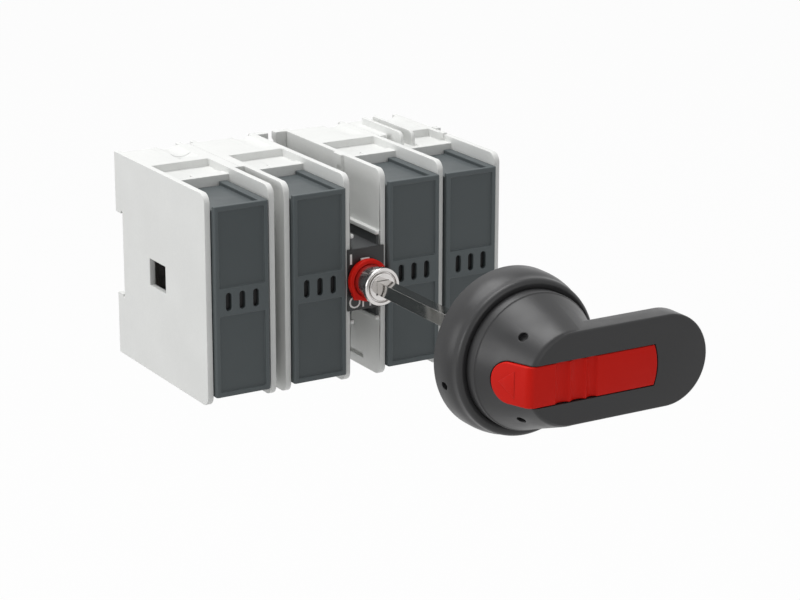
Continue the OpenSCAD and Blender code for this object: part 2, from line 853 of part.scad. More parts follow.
module collar_screw() {
    translate([0, y_at(-collar_front + shaft_in - 3), shaft_w / 2]) color("dimgray") difference() {
        cylinder(r = collar_screw_r, h = neck_r - shaft_w / 2);
        translate([0, 0, neck_r - shaft_w / 2 - 1.5]) cylinder(d = 2 / cos(30), h = 3, $fn = 6);
    }
}

module square_shaft() {
    half = shaft_w / 2;
    color("gray") depth_box(-half, half, -door_gap - face_h + slide_t + web_drop + 2.5,
        -collar_front + shaft_in, -half, half);
}

module door_ring() {
    lip_w = 0.8;
    color("#3a3a3a") on_door() difference() {
        union() {
            rotate_extrude() polygon([
                [hub_bore, clip_recess], [clip_recess_r, clip_recess], [clip_recess_r, 0], [ring_r, 0],
                [ring_r, ring_h - 6.3], [ring_r - 0.3, ring_h - 5.2], [ring_r - 1, ring_h - 4.2],
                [ring_r - 1.9, ring_h - 3.4], [ring_r - 2.3, ring_h - 2.2], [ring_r - 2.5, ring_h - 0.5],
                [ring_r - 2.8, ring_h], [ring_bore, ring_h], [ring_bore, ring_back], [hub_bore, ring_back]
            ]);
            for (x = [-door_pitch / 2, door_pitch / 2], y = [-door_pitch / 2, door_pitch / 2])
                translate([x, y, ring_back - eps]) cylinder(r = boss_r, h = skirt_low - ring_back - 0.5);
        }
        rotate_extrude() translate([seal_in - eps, -cut]) square([seal_out - seal_in, seal_t + cut]);
        for (x = [-door_pitch / 2, door_pitch / 2], y = [-door_pitch / 2, door_pitch / 2])
            translate([x, y, -cut]) cylinder(r = door_hole_r, h = skirt_low - 1.5 + cut);
        rotate([0, 0, 194]) translate([ring_r - 2, 0, ring_h * 0.42]) rotate([0, 90, 0])
            cylinder(r = cone_hole_r, h = 3);
    }
}

module door_seal() {
    color("#222222") on_door() difference() {
        rotate_extrude() translate([seal_in + 0.1, 0]) square([seal_out - seal_in - 0.2, seal_t]);
        for (x = [-door_pitch / 2, door_pitch / 2], y = [-door_pitch / 2, door_pitch / 2])
            translate([x, y, -cut]) cylinder(r = door_hole_r + 0.3, h = seal_t + 2 * cut);
    }
}

// Half section of the lever's edge, rounded at both corners
module lever_section(reach) {
    low = face_h - lever_t;
    translate([0, low]) square([reach - edge_r, lever_t]);
    translate([0, low + edge_r]) square([reach, lever_t - 2 * edge_r]);
    for (a = [low + edge_r, face_h - edge_r]) translate([reach - edge_r, a]) circle(edge_r);
}

module lever() {
    for (x = [lever_left, lever_x]) translate([x, 0, 0]) rotate_extrude() intersection() {
        lever_section(lever_r);
        square([2 * lever_r, 2 * face_h]);
    }
    for (side = [0, 1]) mirror([0, side, 0])
        translate([lever_left, 0, 0]) rotate([90, 0, 90]) linear_extrude(lever_x - lever_left)
            intersection() {
                lever_section(lever_r);
                square([2 * lever_r, 2 * face_h]);
            }
}

// The lock slide's outline seen from the front, grown by a gap
module slide_flat(gap) {
    bulge = (slide_half * slide_half + slide_arc * slide_arc) / (2 * slide_arc);
    intersection() {
        translate([-kink_x, -slide_half - gap]) square([kink_x + slide_end + gap, 2 * (slide_half + gap)]);
        union() {
            translate([slide_end - bulge, 0]) circle(bulge + gap, $fn = 256);
            translate([-kink_x, -slide_half - gap]) square([slide_end, 2 * (slide_half + gap)]);
        }
    }
}

// The sloping nose that lies on the cone, as a slab around its own face
module slide_nose(gap, depth) {
    translate([-kink_x, 0, face_h]) rotate([0, -nose_angle, 0]) mirror([1, 0, 0])
        translate([0, 0, -depth]) linear_extrude(depth + nose_over) {
            translate([-1, -slide_half - gap]) square([nose_len + 1, 2 * (slide_half + gap)]);
            translate([nose_len, 0]) circle(slide_half + gap);
        }
}

// Space that the lock slide lies in: the slope and the flat as one outline seen from the
// side, the round end of the nose, and the arc of the far end
module slide_pocket() {
    depth = slide_t + slide_gap;
    half = slide_half + slide_gap;
    middle = slide_end / 2;
    out = [-sin(nose_angle), cos(nose_angle)];
    down = [-cos(nose_angle), -sin(nose_angle)];
    kink = [-kink_x, face_h];
    foot = kink + nose_len * down;
    outer = foot + nose_over * out;
    rotate([90, 0, 0]) linear_extrude(2 * half, center = true) polygon([
        kink - depth * out + depth * tan(nose_angle / 2) * down, foot - depth * out, outer,
        [outer[0], face_h + cut], [middle, face_h + cut], [middle, face_h - depth]
    ]);
    translate([foot[0], 0, foot[1]]) rotate([0, -nose_angle, 0]) translate([0, 0, -depth])
        cylinder(r = half + nose_ease, h = depth + nose_over);
    translate([0, 0, face_h - depth]) linear_extrude(depth + cut) intersection() {
        slide_flat(slide_gap);
        translate([middle - eps, -half]) square(2 * slide_end);
    }
}

// The lock slide without its web: the flat part, and the nose cut flush with the cone
module slide_body() {
    split = kink_x - 5;
    translate([0, 0, face_h - slide_t]) linear_extrude(slide_t) difference() {
        slide_flat(0);
        translate([-kink_x - cut, -slide_half - cut]) square([cut + kink_x - split, 2 * (slide_half + cut)]);
    }
    intersection() {
        union() {
            translate([-kink_x, -slide_half, face_h - slide_t])
                cube([kink_x - split + eps, 2 * slide_half, slide_t + cut]);
            slide_nose(0, slide_t);
        }
        rotate_extrude() hub_outline();
    }
}

module hub_outline() {
    polygon([
        [0, 0.5], [hub_neck_r, 0.5], [hub_neck_r, skirt_low], [skirt_r, skirt_low],
        [skirt_r, skirt_high], [cone_base_r, skirt_high], [cone_base_r, skirt_high + 1],
        [cone_top_r, face_h], [0, face_h]
    ]);
}

module handle_body() {
    socket = shaft_w / 2 + 0.1;
    color("#3c3c3c") on_door() difference() {
        union() {
            rotate_extrude() hub_outline();
            lever();
        }
        slide_pocket();
        translate([-web_len / 2 - slide_gap, -web_half - slide_gap, face_h - slide_t - web_drop - slide_gap])
            cube([web_len + 2 * slide_gap, 2 * (web_half + slide_gap), web_drop + slide_gap + cut]);
        translate([-socket, -socket, -cut]) cube([2 * socket, 2 * socket, face_h - slide_t - web_drop]);
        difference() {
            translate([0, 0, 1]) cylinder(r = hub_neck_r + cut, h = 1.3);
            cylinder(r = hub_neck_r - 1.6, h = 3);
        }
        for (a = [-130, 130]) rotate([0, 0, a]) translate([cone_top_r + cone_hole_out, 0, face_h - cone_hole_down]) rotate([0, 68, 0])
            translate([0, 0, -4]) cylinder(r = cone_hole_r, h = 8);
    }
}

module hub_clip() {
    color("silver") on_door() difference() {
        translate([0, 0, 1.05]) cylinder(r = clip_recess_r - 1.5, h = 1.2);
        translate([0, 0, 0.5]) cylinder(r = hub_neck_r - 1.6, h = 3);
        translate([0, -2.5, 0.5]) cube([clip_recess_r, 5, 3]);
    }
}

module lock_slide() {
    color("#c01f18") on_door() difference() {
        union() {
            slide_body();
            translate([-web_len / 2, -web_half, face_h - slide_t - web_drop])
                cube([web_len, 2 * web_half, web_drop + eps]);
        }
        translate([0, web_half + cut, face_h - slide_t - 4]) rotate([90, 0, 0])
            cylinder(r = lock_hole_r, h = 2 * (web_half + cut));
        for (i = [0:2]) translate([-4 + i * 7, slide_half + cut, face_h + 5]) rotate([90, 0, 0])
            cylinder(r = 6, h = 2 * (slide_half + cut));
    }
}

module rail_latch() {
    half = latch_w / 2;
    color("#2f3335") {
        depth_box(-half, half, latch_d, latch_d + latch_t, -latch_low, -rail_low + latch_rise);
        depth_box(-half, half, latch_d - latch_tab, latch_d + eps, -latch_low, -latch_low + latch_t);
    }
}

// Points of one ring of the spring's wire
function spring_point(i, side, height) =
    let (steps = 20, turn = i * 360 / steps, a = side * 60,
        r = spring_r + spring_wire * cos(a))
    [r * cos(turn), r * sin(turn), spring_wire * sin(a) + i / (spring_turns * steps) * height];

module latch_spring() {
    steps = 20 * spring_turns;
    low = -latch_low + latch_t + spring_wire;
    height = -rail_low - wall - 2 - spring_wire - low - 0.05;
    points = [for (i = [0:steps], side = [0:5]) spring_point(i, side, height)];
    walls = [for (i = [0:steps - 1], s = [0:5])
        [i * 6 + s, i * 6 + (s + 1) % 6, (i + 1) * 6 + (s + 1) % 6, (i + 1) * 6 + s]];
    ends = [[5, 4, 3, 2, 1, 0], [for (s = [0:5]) steps * 6 + s]];
    color("silver") translate([0, y_at(latch_d - 3), low])
        polyhedron(points, concat(walls, ends), convexity = 4);
}

for (n = [1:4]) left_shell(n);
for (n = [1:4]) right_shell(n);
for (n = [1:4]) fuse_carrier(n);
for (n = [1:4]) fuse_link(n);
for (n = [1:4]) fuse_blades(n);
for (n = [1:4]) upper_contact(n);
for (n = [1:4]) lower_contact(n);
for (n = [1:4]) upper_terminal(n);
for (n = [1:4]) lower_terminal(n);
for (n = [1:4]) contact_bridges(n);
contact_bar();
terminal_screws();
mechanism_housing();
mounting_frame();
label_plate();
spindle();
drive_pinion();
indicator_ring();
shaft_collar();
collar_screw();
square_shaft();
door_ring();
door_seal();
handle_body();
hub_clip();
lock_slide();
rail_latch();
latch_spring();
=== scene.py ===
"""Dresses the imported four-pole fuse switch disconnector for its portrait.

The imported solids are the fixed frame. The visible mouldings are welded copies of them with
rounded edges, the collar and the door handle are modelled afresh, and every surface gets a
procedural finish. Lengths in the sub-assemblies are in millimetres. Those in the studio, and
everything in Blender, are in metres.
"""

from __future__ import annotations

import json
import logging
import math
from collections.abc import Callable, Iterable, Sequence
from dataclasses import dataclass
from enum import Enum
from typing import Any

import bpy
from mathutils import Matrix, Vector

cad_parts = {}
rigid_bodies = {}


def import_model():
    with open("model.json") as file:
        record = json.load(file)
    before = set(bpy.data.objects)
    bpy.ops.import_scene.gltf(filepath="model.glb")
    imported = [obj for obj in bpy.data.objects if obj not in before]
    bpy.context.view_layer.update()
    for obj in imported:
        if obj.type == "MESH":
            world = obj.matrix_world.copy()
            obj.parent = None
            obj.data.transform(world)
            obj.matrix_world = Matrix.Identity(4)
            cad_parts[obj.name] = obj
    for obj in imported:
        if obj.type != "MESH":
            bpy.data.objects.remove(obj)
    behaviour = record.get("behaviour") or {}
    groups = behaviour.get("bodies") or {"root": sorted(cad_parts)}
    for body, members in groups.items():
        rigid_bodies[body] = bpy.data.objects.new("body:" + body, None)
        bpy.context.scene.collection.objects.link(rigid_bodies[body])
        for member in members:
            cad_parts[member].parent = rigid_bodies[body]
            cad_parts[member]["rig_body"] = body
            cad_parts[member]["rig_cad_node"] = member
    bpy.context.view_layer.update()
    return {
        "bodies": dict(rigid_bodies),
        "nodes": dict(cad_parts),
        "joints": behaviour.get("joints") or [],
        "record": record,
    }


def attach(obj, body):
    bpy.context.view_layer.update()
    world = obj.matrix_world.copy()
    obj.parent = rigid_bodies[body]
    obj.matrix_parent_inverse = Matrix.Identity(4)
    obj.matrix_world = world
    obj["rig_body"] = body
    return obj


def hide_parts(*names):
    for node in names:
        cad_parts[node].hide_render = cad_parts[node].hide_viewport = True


LOG = logging.getLogger("fuse_switch")
MM = 0.001
HOUSING_D = 90.7
CARRIER_FACE_Y = -HOUSING_D - 2.4
DOOR_Y = -HOUSING_D - 114.6
POLES = range(1, 5)
# NEAR is a tolerance in millimetres. The welds are distances in metres.
NEAR = 0.01
WELD = 2e-6
FINE_WELD = 1e-7
CAPITAL_SHARE = 0.69

Point = tuple[float, float, float]
Flat = tuple[float, float]
Colour = tuple[int, int, int]
EdgeTest = Callable[[Vector, Vector], bool]
Piece = bpy.types.Object


def linear(colour: Colour) -> tuple[float, float, float, float]:
    """Turns an 8-bit sRGB colour into the linear colour that a shader takes.

    Args:
        colour: Red, green and blue from 0 to 255.

    Returns:
        Linear red, green and blue, with an alpha of 1.
    """
    parts = [c / 255 for c in colour]
    return (*[p / 12.92 if p <= 0.04045 else ((p + 0.055) / 1.055) ** 2.4 for p in parts], 1.0)


def scaled(colour: Sequence[float], factor: float) -> tuple[float, ...]:
    """Scales a linear colour, with an alpha of 1."""
    return (*[part * factor for part in colour[:3]], 1.0)


def metres(point: Sequence[float]) -> Vector:
    """Turns a point in millimetres into one in metres."""
    return Vector([p * MM for p in point])


def arc(centre: Flat, radius: float, start: float, end: float, steps: int) -> list[Flat]:
    """Lists points along an arc.

    Args:
        centre: Centre of the arc.
        radius: Its radius.
        start: First angle in degrees, from the first axis towards the second.
        end: Last angle in degrees.
        steps: Number of chords.

    Returns:
        The points, both ends among them.
    """
    angles = [math.radians(start + (end - start) * i / steps) for i in range(steps + 1)]
    return [(centre[0] + radius * math.cos(a), centre[1] + radius * math.sin(a)) for a in angles]


class Slot(Enum):
    """The record's material slots."""

    HOUSING = "housing_grey"
    CARRIER = "carrier_grey"
    MECHANISM = "mechanism_grey"
    HANDLE = "handle_grey"
    RED = "signal_red"
    LABEL = "label_black"
    CERAMIC = "ceramic"
    SILVER = "silvered_copper"
    BRASS = "terminal_brass"
    ZINC = "zinc_steel"
    NICKEL = "nickel_steel"
    SHAFT = "shaft_steel"
    RUBBER = "seal_rubber"


class Wire:
    """A shader value that can stand in a Python expression."""

    def __init__(self, tree: Tree, socket: bpy.types.NodeSocket) -> None:
        """Wraps the output socket of one of the tree's nodes."""
        self.tree = tree
        self.socket = socket

    def maths(self, operation: str, other: Any) -> Wire:
        """Adds a Math node that takes this value and another.

        Args:
            operation: The node's operation.
            other: The second operand, a number or a wire.

        Returns:
            The node's result.
        """
        return self.tree.node("ShaderNodeMath", {"operation": operation}, {0: self, 1: other})

    def __add__(self, other: Any) -> Wire:
        """Adds a number or a wire."""
        return self.maths("ADD", other)

    def __sub__(self, other: Any) -> Wire:
        """Takes a number or a wire away."""
        return self.maths("SUBTRACT", other)

    def __mul__(self, other: Any) -> Wire:
        """Multiplies by a number or a wire."""
        return self.maths("MULTIPLY", other)


class Tree:
    """A node tree that is built from Python expressions."""

    def __init__(self, tree: bpy.types.NodeTree, end: str) -> None:
        """Empties the tree and gives it an output node.

        Args:
            tree: The tree to build in.
            end: The output node's type.
        """
        self.tree = tree
        tree.nodes.clear()
        self.end = tree.nodes.new(end)

    def node(
        self, kind: str, settings: dict[str, Any], inputs: dict[Any, Any], output: Any = 0
    ) -> Wire:
        """Adds a node, sets it up and feeds it.

        Args:
            kind: The node's type.
            settings: Properties that are set first.
            inputs: Values or wires by socket name or index.
            output: The output that is wanted, by name or index.

        Returns:
            That output as a wire.
        """
        made = self.tree.nodes.new(kind)
        for key, value in settings.items():
            setattr(made, key, value)
        for key, value in inputs.items():
            self.feed(made.inputs[key], value)
        return Wire(self, made.outputs[output])

    def feed(self, socket: bpy.types.NodeSocket, value: Any) -> None:
        """Links a wire to a socket, or sets the socket to a value.

        Args:
            socket: The socket to feed.
            value: The wire or the value.
        """
        if isinstance(value, Wire):
            self.tree.links.new(value.socket, socket)
        else:
            socket.default_value = value

    def seen(self) -> Wire:
        """Tells the rays that look at a surface from those that light by it.

        Returns:
            A value that is 1 for camera, mirror and see-through rays.
        """
        kinds = ("Is Camera Ray", "Is Glossy Ray", "Is Transmission Ray")
        total, *rest = [self.node("ShaderNodeLightPath", {}, {}, kind) for kind in kinds]
        for ray in rest:
            settings = {"operation": "ADD", "use_clamp": True}
            total = self.node("ShaderNodeMath", settings, {0: total, 1: ray})
        return total

    def show(self, share: Wire, lit: Wire, shown: Wire) -> None:
        """Ends the tree with a mix of what gives light and what is shown."""
        mix = self.node("ShaderNodeMixShader", {}, {"Fac": share, 1: lit, 2: shown})
        self.feed(self.end.inputs["Surface"], mix)


class Recipe(Tree):
    """The node tree of one material."""

    def __init__(self, name: str) -> None:
        """Starts a tree with its surface shader and output.

        Args:
            name: The material's name.
        """
        self.material = bpy.data.materials.new(name)
        self.material.use_nodes = True
        super().__init__(self.material.node_tree, "ShaderNodeOutputMaterial")
        self.surface = self.tree.nodes.new("ShaderNodeBsdfPrincipled")
        self.lit = Wire(self, self.surface.outputs[0])
        self.feed(self.end.inputs["Surface"], self.lit)
        self.place = self.node("ShaderNodeTexCoord", {}, {}, "Object")

    def noise(self, size: float, detail: float = 2.0, roughness: float = 0.5) -> Wire:
        """Noise with features about so many millimetres across."""
        inputs = {"Scale": 1 / (size * MM), "Detail": detail, "Roughness": roughness}
        return self.node("ShaderNodeTexNoise", {}, {"Vector": self.place, **inputs})

    def streaks(self, size: float, stretch: Point) -> Wire:
        """Noise drawn out along one axis, as brushing or drawing leaves it.

        Args:
            size: Size of the noise in millimetres.
            stretch: Scale along each axis.

        Returns:
            The noise.
        """
        turned = self.node("ShaderNodeMapping", {}, {"Vector": self.place, "Scale": stretch})
        inputs = {"Vector": turned, "Scale": 1 / (size * MM), "Detail": 3.0}
        return self.node("ShaderNodeTexNoise", {}, inputs)

    def spread(self, value: Wire, low: float, high: float, to_low: float, to_high: float) -> Wire:
        """Maps a range of a value to another, clamped."""
        inputs = {0: value, 1: low, 2: high, 3: to_low, 4: to_high}
        return self.node("ShaderNodeMapRange", {"clamp": True}, inputs)

    def past(self, plane: float, width: float) -> Wire:
        """How far a place lies behind a depth in millimetres, from 0 to 1 over a width."""
        depth = self.node("ShaderNodeSeparateXYZ", {}, {0: self.place}, 1)
        return self.spread(depth, plane * MM, (plane + width) * MM, 0.0, 1.0)

    def tinted(self, base: Any, other: Any, share: Wire) -> Wire:
        """Mixes two colours by a share."""
        inputs = {"Factor": share, 6: base, 7: other}
        return self.node("ShaderNodeMix", {"data_type": "RGBA"}, inputs, 2)

    def rounded(self, radius: float) -> Wire:
        """The surface normal, rounded over near edges."""
        return self.node("ShaderNodeBevel", {"samples": 4}, {"Radius": radius * MM})

    def edge_mask(self, rounded: Wire) -> Wire:
        """How strongly a place lies on an edge.

        Args:
            rounded: The rounded normal.

        Returns:
            A value from 0 to 1.
        """
        plain = self.node("ShaderNodeNewGeometry", {}, {}, "Normal")
        dot = self.node(
            "ShaderNodeVectorMath", {"operation": "DOT_PRODUCT"}, {0: plain, 1: rounded}, "Value"
        )
        return self.spread(dot, 0.75, 0.99, 1.0, 0.0)

    def relief(self, height: Wire, depth: float, normal: Wire | None = None) -> Wire:
        """A bump on top of a normal.

        Args:
            height: The height of each place from 0 to 1.
            depth: Depth of the bump in millimetres.
            normal: The normal underneath.

        Returns:
            The bumped normal.
        """
        inputs: dict[str, Any] = {"Height": height, "Distance": depth * MM, "Strength": 1.0}
        if normal is not None:
            inputs["Normal"] = normal
        return self.node("ShaderNodeBump", {}, inputs)

    def finish(self, **sockets: Any) -> bpy.types.Material:
        """Feeds the surface shader.

        Args:
            sockets: Wires or values by the sockets' names, with _ for each space.

        Returns:
            The finished material.
        """
        for key, value in sockets.items():
            self.feed(self.surface.inputs[key.replace("_", " ")], value)
        return self.material


@dataclass(frozen=True)
class Moulded:
    """A moulded plastic with fine eroded grain and painted shade behind the plane face_y if set.
    """

    name: str
    colour: Colour
    roughness: float
    grain: float = 0.35
    depth: float = 0.010
    mottle: float = 0.05
    edge: float = 0.35
    painted_edge_highlight: float = 0.25
    shine: float = 0.45
    # face_y and behind set a painted shade: past the plane face_y the colour is scaled by behind.
    face_y: float | None = None
    behind: float = 0.80
    cloud_size: float = 24
    speck_size: float = 1.6
    touch_size: float = 9

    def make(self) -> bpy.types.Material:
        """Builds the material.

        Returns:
            The finished material.
        """
        recipe = Recipe(self.name)
        base = linear(self.colour)
        cloud = recipe.noise(self.cloud_size, 3)
        speck = recipe.noise(self.speck_size, 2)
        shade = recipe.spread(cloud * 0.7 + speck * 0.3, 0.35, 0.65, 0.0, 1.0)
        # Painted highlight: the colour turns paler along edges, as if they caught the light.
        pale = tuple(min(1.0, c + (1 - c) * 0.10 * self.painted_edge_highlight) for c in base[:3]) + (1.0,)
        soft = recipe.rounded(self.edge)
        edge = recipe.edge_mask(soft)
        tint = recipe.tinted(scaled(base, 1 - self.mottle), base, shade)
        # Painted shade: behind face_y the colour is darkened, so recesses, tops and sides read as
        # shaded.
        if self.face_y is not None:
            painted_shade_share = recipe.past(self.face_y + 0.3, 0.4)
            tint = recipe.tinted(tint, scaled(base, self.behind), painted_shade_share)
        tint = recipe.tinted(tint, pale, edge)
        grain = recipe.noise(self.grain, 3, 0.6)
        handled = recipe.spread(recipe.noise(self.touch_size, 2), 0.3, 0.7, -0.04, 0.05)
        low, high = self.roughness - 0.03, self.roughness + 0.05
        rough = handled + recipe.spread(grain, 0.3, 0.7, low, high)
        return recipe.finish(
            Base_Color=tint,
            Roughness=rough - edge * 0.08,
            Normal=recipe.relief(grain, self.depth, soft),
            Specular_IOR_Level=self.shine,
        )


@dataclass(frozen=True)
class Plated:
    """A metal with drawing marks and a slightly clouded plating."""

    name: str
    colour: Colour
    roughness: float
    streak: Point = (1.0, 0.05, 1.0)
    depth: float = 0.002
    edge: float = 0.2
    cloud: float = 0.12
    cloud_size: float = 5
    mark_size: float = 0.3

    def make(self) -> bpy.types.Material:
        """Builds the material.

        Returns:
            The finished material.
        """
        recipe = Recipe(self.name)
        base = linear(self.colour)
        cloud = recipe.spread(recipe.noise(self.cloud_size, 3), 0.35, 0.65, 0.0, 1.0)
        lines = recipe.streaks(self.mark_size, self.streak)
        rough = recipe.spread(lines, 0.3, 0.7, self.roughness, self.roughness + 0.08)
        return recipe.finish(
            Base_Color=recipe.tinted(scaled(base, 1 - self.cloud), base, cloud),
            Roughness=rough + cloud * 0.04,
            Metallic=1.0,
            Normal=recipe.relief(lines, self.depth, recipe.rounded(self.edge)),
        )


@dataclass(frozen=True)
class Plain:
    """A matt body such as ceramic, rubber, print or a label sheet."""

    name: str
    colour: Colour
    roughness: float
    grain: float = 0.5
    depth: float = 0.01
    speck: float = 0.08

    def make(self) -> bpy.types.Material:
        """Builds the material.

        Returns:
            The finished material.
        """
        recipe = Recipe(self.name)
        base = linear(self.colour)
        grain = recipe.noise(self.grain, 4, 0.6)
        share = recipe.spread(grain, 0.35, 0.6, 0.0, 1.0)
        return recipe.finish(
            Base_Color=recipe.tinted(scaled(base, 1 - self.speck), base, share),
            Roughness=recipe.spread(grain, 0.3, 0.7, self.roughness, self.roughness + 0.08),
            Normal=recipe.relief(grain, self.depth),
        )


class Finishes:
    """Every finish of the switch, made once."""

    def __init__(self) -> None:
        """Makes the materials by the slots' names."""
        recipes = {
            Slot.HOUSING: Moulded("housing_plastic", (226, 227, 225), 0.42, shine=0.4),
            # The carriers get a strong painted edge highlight and painted shade behind their front
            # face.
            Slot.CARRIER: Moulded(
                "carrier_plastic", (84, 91, 93), 0.46, painted_edge_highlight=0.9, shine=0.35,
                face_y=CARRIER_FACE_Y,
            ),
            Slot.MECHANISM: Moulded("mechanism_plastic", (74, 76, 77), 0.5),
            Slot.HANDLE: Moulded(
                "handle_plastic", (46, 46, 47), 0.35, depth=0.005, edge=0.5, shine=0.35
            ),
            Slot.RED: Moulded(
                "signal_red_plastic", (206, 26, 15), 0.42, depth=0.005, mottle=0.03, shine=0.12
            ),
            Slot.LABEL: Plain("label_sheet", (32, 32, 33), 0.35, 0.3, 0.003),
            Slot.CERAMIC: Plain("fuse_ceramic", (224, 219, 206), 0.3, 0.8, 0.006),
            Slot.SILVER: Plated("silvered_copper", (205, 200, 190), 0.28),
            Slot.BRASS: Plated("terminal_copper", (190, 142, 104), 0.32),
            Slot.ZINC: Plated("zinc_steel", (188, 192, 196), 0.30),
            Slot.NICKEL: Plated(
                "nickel_steel", (214, 211, 209), 0.14, (1.0, 1.0, 1.0), 0.0003, cloud=0.05
            ),
            Slot.SHAFT: Plated(
                "shaft_steel", (200, 198, 195), 0.05, (1.0, 0.03, 1.0), 0.0003, cloud=0.05
            ),
            Slot.RUBBER: Plain("seal_rubber", (30, 30, 30), 0.7, 0.4, 0.02),
        }
        self.made = {slot: recipe.make() for slot, recipe in recipes.items()}
        self.print = Plain("white_print", (236, 236, 234), 0.4, 0.2, 0.001).make()
        # A near-black finish that paints the shade of a recess.
        self.recess_shade = Plain("dark_recess", (14, 14, 14), 0.6, 0.4, 0.004).make()

    def dress(self, piece: Piece, slot: Slot) -> None:
        """Gives a piece the finish of a slot."""
        self.coat(piece, self.made[slot])

    @staticmethod
    def coat(piece: Piece, material: bpy.types.Material) -> None:
        """Puts one material on every face of a piece."""
        piece.data.materials.clear()
        piece.data.materials.append(material)


class Bench:
    """Modelling with Blender's own operators."""

    @staticmethod
    def clear() -> None:
        """Leaves edit mode and deselects everything."""
        if bpy.context.object is not None and bpy.context.object.mode != "OBJECT":
            bpy.ops.object.mode_set(mode="OBJECT")
        bpy.ops.object.select_all(action="DESELECT")

    @classmethod
    def take_up(cls, piece: Piece) -> None:
        """Makes a piece the only selected and active one.

        Args:
            piece: The object to take up.
        """
        cls.clear()
        piece.select_set(True)
        bpy.context.view_layer.objects.active = piece

    @classmethod
    def open(cls, piece: Piece, select: bool = True) -> None:
        """Enters edit mode on a piece.

        Args:
            piece: The object to open.
            select: Whether all of it is selected, or nothing.
        """
        cls.take_up(piece)
        bpy.ops.object.mode_set(mode="EDIT")
        bpy.ops.mesh.select_all(action="SELECT" if select else "DESELECT")

    @classmethod
    def settle(cls, piece: Piece) -> Piece:
        """Puts a piece's place into its mesh, with its faces outwards.

        Args:
            piece: The object to settle.

        Returns:
            The same object, unturned and unscaled at the origin.
        """
        cls.take_up(piece)
        bpy.ops.object.transform_apply(location=True, rotation=True, scale=True)
        cls.open(piece)
        bpy.ops.mesh.remove_doubles(threshold=FINE_WELD)
        bpy.ops.mesh.normals_make_consistent(inside=False)
        bpy.ops.object.mode_set(mode="OBJECT")
        return piece

    @classmethod
    def block(cls, name: str, low: Point, high: Point) -> Piece:
        """Adds a box between two corners.

        Args:
            name: The piece's name.
            low: Its lowest corner.
            high: Its highest corner.

        Returns:
            The box.
        """
        cls.clear()
        middle = (metres(low) + metres(high)) / 2
        bpy.ops.mesh.primitive_cube_add(size=1, location=middle)
        piece = bpy.context.object
        piece.name = name
        piece.scale = metres(high) - metres(low)
        return cls.settle(piece)

    @classmethod
    def rod(cls, name: str, radius: float, start: Point, end: Point, sides: int) -> Piece:
        """Adds a round bar between two points.

        Args:
            name: The piece's name.
            radius: Its radius.
            start: Centre of its first end.
            end: Centre of its other end.
            sides: Number of sides.

        Returns:
            The bar.
        """
        cls.clear()
        a, b = metres(start), metres(end)
        bpy.ops.mesh.primitive_cone_add(
            vertices=sides,
            radius1=radius * MM,
            radius2=radius * MM,
            depth=(b - a).length,
            location=(a + b) / 2,
            rotation=(b - a).to_track_quat("Z", "Y").to_euler(),
        )
        piece = bpy.context.object
        piece.name = name
        return cls.settle(piece)

    @classmethod
    def line(cls, name: str, points: Sequence[Vector]) -> Piece:
        """Draws a chain of edges by extruding one vertex, and stays in edit mode.

        Args:
            name: The piece's name.
            points: The chain's points in metres.

        Returns:
            The object that holds the chain.
        """
        cls.clear()
        bpy.ops.mesh.primitive_plane_add(size=MM, location=points[0])
        piece = bpy.context.object
        piece.name = name
        bpy.ops.object.mode_set(mode="EDIT")
        bpy.ops.mesh.select_mode(type="VERT")
        bpy.ops.mesh.select_all(action="SELECT")
        bpy.ops.mesh.merge(type="CENTER")
        for before, after in zip(points, points[1:]):
            bpy.ops.mesh.extrude_vertices_move(TRANSFORM_OT_translate={"value": after - before})
        bpy.ops.mesh.select_all(action="SELECT")
        return piece

    @classmethod
    def lathe(cls, name: str, profile: Sequence[Flat], steps: int = 160) -> Piece:
        """Spins a closed or axis-to-axis profile round the shaft axis.

        Args:
            name: The piece's name.
            profile: Radius and Y of each point.
            steps: Number of steps round.

        Returns:
            The turned piece.
        """
        piece = cls.line(name, [metres((r, y, 0)) for r, y in profile])
        bpy.ops.mesh.spin(steps=steps, angle=2 * math.pi, center=(0, 0, 0), axis=(0, 1, 0))
        bpy.ops.mesh.select_all(action="SELECT")
        bpy.ops.mesh.remove_doubles(threshold=WELD)
        bpy.ops.object.mode_set(mode="OBJECT")
        return cls.settle(piece)

    @classmethod
    def slab(cls, name: str, outline: Sequence[Point], sweep: Point) -> Piece:
        """Fills a flat outline and extrudes it.

        Args:
            name: The piece's name.
            outline: The outline's corners in order.
            sweep: How far it is extruded.

        Returns:
            The closed slab.
        """
        piece = cls.line(name, [metres(p) for p in outline])
        bpy.ops.mesh.edge_face_add()
        bpy.ops.mesh.select_all(action="SELECT")
        bpy.ops.mesh.extrude_region_move(TRANSFORM_OT_translate={"value": metres(sweep)})
        bpy.ops.object.mode_set(mode="OBJECT")
        return cls.settle(piece)

    @classmethod
    def copy_of(cls, node: Piece, name: str) -> Piece:
        """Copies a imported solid, welded and in triangles.

        Args:
            node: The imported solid.
            name: The copy's name.

        Returns:
            The copy, riding on nothing yet.
        """
        cls.take_up(node)
        bpy.ops.object.duplicate()
        piece = bpy.context.object
        piece.name = name
        bpy.ops.object.parent_clear(type="CLEAR_KEEP_TRANSFORM")
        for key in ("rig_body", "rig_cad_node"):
            if key in piece:
                del piece[key]
        cls.open(piece)
        bpy.ops.mesh.customdata_custom_splitnormals_clear()
        bpy.ops.mesh.remove_doubles(threshold=WELD)
        bpy.ops.mesh.quads_convert_to_tris()
        bpy.ops.object.mode_set(mode="OBJECT")
        return piece

    @classmethod
    def modify(cls, piece: Piece, kind: str, **settings: Any) -> None:
        """Adds a modifier and applies it.

        Args:
            piece: The object to change.
            kind: The modifier's type.
            settings: Its properties.
        """
        cls.take_up(piece)
        modifier = piece.modifiers.new(kind.lower(), kind)
        for key, value in settings.items():
            setattr(modifier, key, value)
        bpy.ops.object.modifier_apply(modifier=modifier.name)

